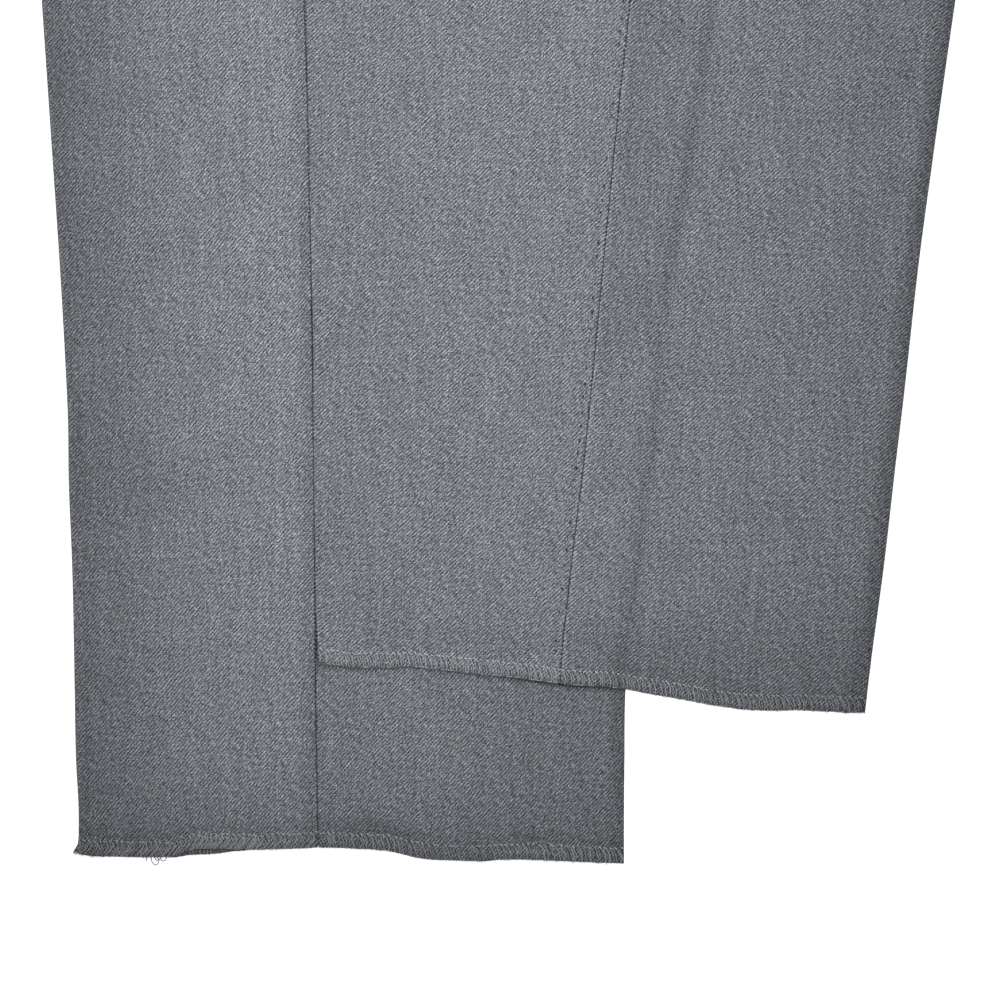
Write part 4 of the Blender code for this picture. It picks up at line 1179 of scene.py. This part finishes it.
def makeButton():  # the CAD's button with a horn finish, a raised rim and the thread through its holes
    low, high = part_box("waist_button")
    centre = (np.array([(low.x + high.x) / 2, (low.y + high.y) / 2, high.z]) - shift) / mm
    material = hornMaterial()
    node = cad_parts["waist_button"]
    node.data.materials.clear()
    node.data.materials.append(material)
    turns = [np.linspace(0, 2 * np.pi, count, endpoint=False) for count in button["rimSides"]]
    turn, around = np.meshgrid(*turns, indexing="ij")
    reach = button["rimRadius"] + button["rim"] * np.cos(around)
    level = button["rim"] * button["rimFlat"] * np.sin(around) - button["rimSink"]
    points = centre + stack(reach * np.cos(turn), reach * np.sin(turn), level)
    index = np.arange(turn.size).reshape(turn.shape)
    ahead = np.roll(index, -1, axis=0)
    quads = stack(index, ahead, np.roll(ahead, -1, axis=1), np.roll(index, -1, axis=1))
    rim = buildMesh("button_rim", points.reshape(-1, 3), quads.reshape(-1, 4), None, material)
    t = np.linspace(0.0, 1.0, 9)
    across = button["holeRing"] * np.cos(np.pi / 4)
    rise = np.minimum(1.0, 6.0 * np.minimum(t, 1.0 - t)) * button["threadRise"] - button["threadFoot"]
    tilt = button["threadTilt"]
    bars = [stack(across * (2 * t - 1), across * side + offset + 0.0 * t, rise + tilt * offset)
            for side in (-1.0, 1.0) for offset in (-button["apart"], button["apart"])]
    sewnPiece("button_thread", [tubes(centre + np.array(bars), (0.0, 1.0, 0.02), button["thread"])],
              threadMaterial("button_thread", button["threadColour"], 0.7))


for panelName in panels:
    makePanel(panelName)
print("panels made")
for bandName in bands:
    makeBand(bandName)
makeFly()
print("waistband and fly made")
makeOverlock()
makePicks()
makeLadder()
makeFlyStitch()
makeButton()
print("sewing and button made")


def addObject(name, data, at=(0.0, 0.0, 0.0)):  # at is a place of the frame, in metres
    made = bpy.data.objects.new(name, data)
    made.location = at
    bpy.context.scene.collection.objects.link(made)
    return made


# The camera looks straight down on the framed part, from well above, with a long lens.
view = {"across": 60.0, "up": 145.2, "width": 400.0, "lens": 200.0, "level": 4.0}
cameraData = bpy.data.cameras.new("camera")
cameraData.lens = view["lens"]
cameraData.sensor_width = 36.0
distance = view["width"] * view["lens"] / cameraData.sensor_width
cameraPlace = np.array([view["across"], view["up"], distance + view["level"]]) * mm + shift
bpy.context.scene.camera = addObject("camera", cameraData, cameraPlace)

studio = {
    "softbox": {"at": (58.0, 584.0, 208.0), "width": 0.375, "length": 1.232, "power": 2.28},
    "window": {"from": (-1.0, 0.45, 0.8), "power": 0.35, "angle": 30.0},
    "ambient": 0.1,
    "floor": {"colour": (0.88, 0.88, 0.88, 1.0), "glow": 0.8, "side": 12.0, "level": -0.2 * mm},
}


def addSoftbox(spec):  # a long area light over the lay, facing down
    data = bpy.data.lights.new("softbox", "AREA")
    data.shape = "RECTANGLE"
    data.size, data.size_y = spec["width"], spec["length"]
    data.energy = spec["power"]
    addObject("softbox", data, np.array(spec["at"]) * mm + shift).visible_camera = False


def addWindow(spec):  # a wide far light from the upper left
    data = bpy.data.lights.new("window", "SUN")
    data.energy = spec["power"]
    data.angle = np.radians(spec["angle"])
    addObject("window", data).rotation_euler = Vector(spec["from"]).to_track_quat("Z", "Y").to_euler()


def addFloor(spec):  # the white ground
    material, _, _, finish = newMaterial("floor_white")
    finish({"Base Color": spec["colour"], "Roughness": 0.9, "Emission Color": (1.0, 1.0, 1.0, 1.0),
            "Emission Strength": spec["glow"]})
    side, level = spec["side"], spec["level"]
    mesh = bpy.data.meshes.new("floor")
    mesh.from_pydata([(-side, -side, level), (side, -side, level), (side, side, level), (-side, side, level)],
                     [], [(0, 1, 2, 3)])
    mesh.materials.append(material)
    addObject("floor", mesh)


addSoftbox(studio["softbox"])
addWindow(studio["window"])
world = bpy.data.worlds.new("studio")
world.use_nodes = True
world.node_tree.nodes["Background"].inputs["Color"].default_value = (1.0, 1.0, 1.0, 1.0)
world.node_tree.nodes["Background"].inputs["Strength"].default_value = studio["ambient"]
bpy.context.scene.world = world
bpy.context.scene.view_settings.view_transform = "Standard"
addFloor(studio["floor"])
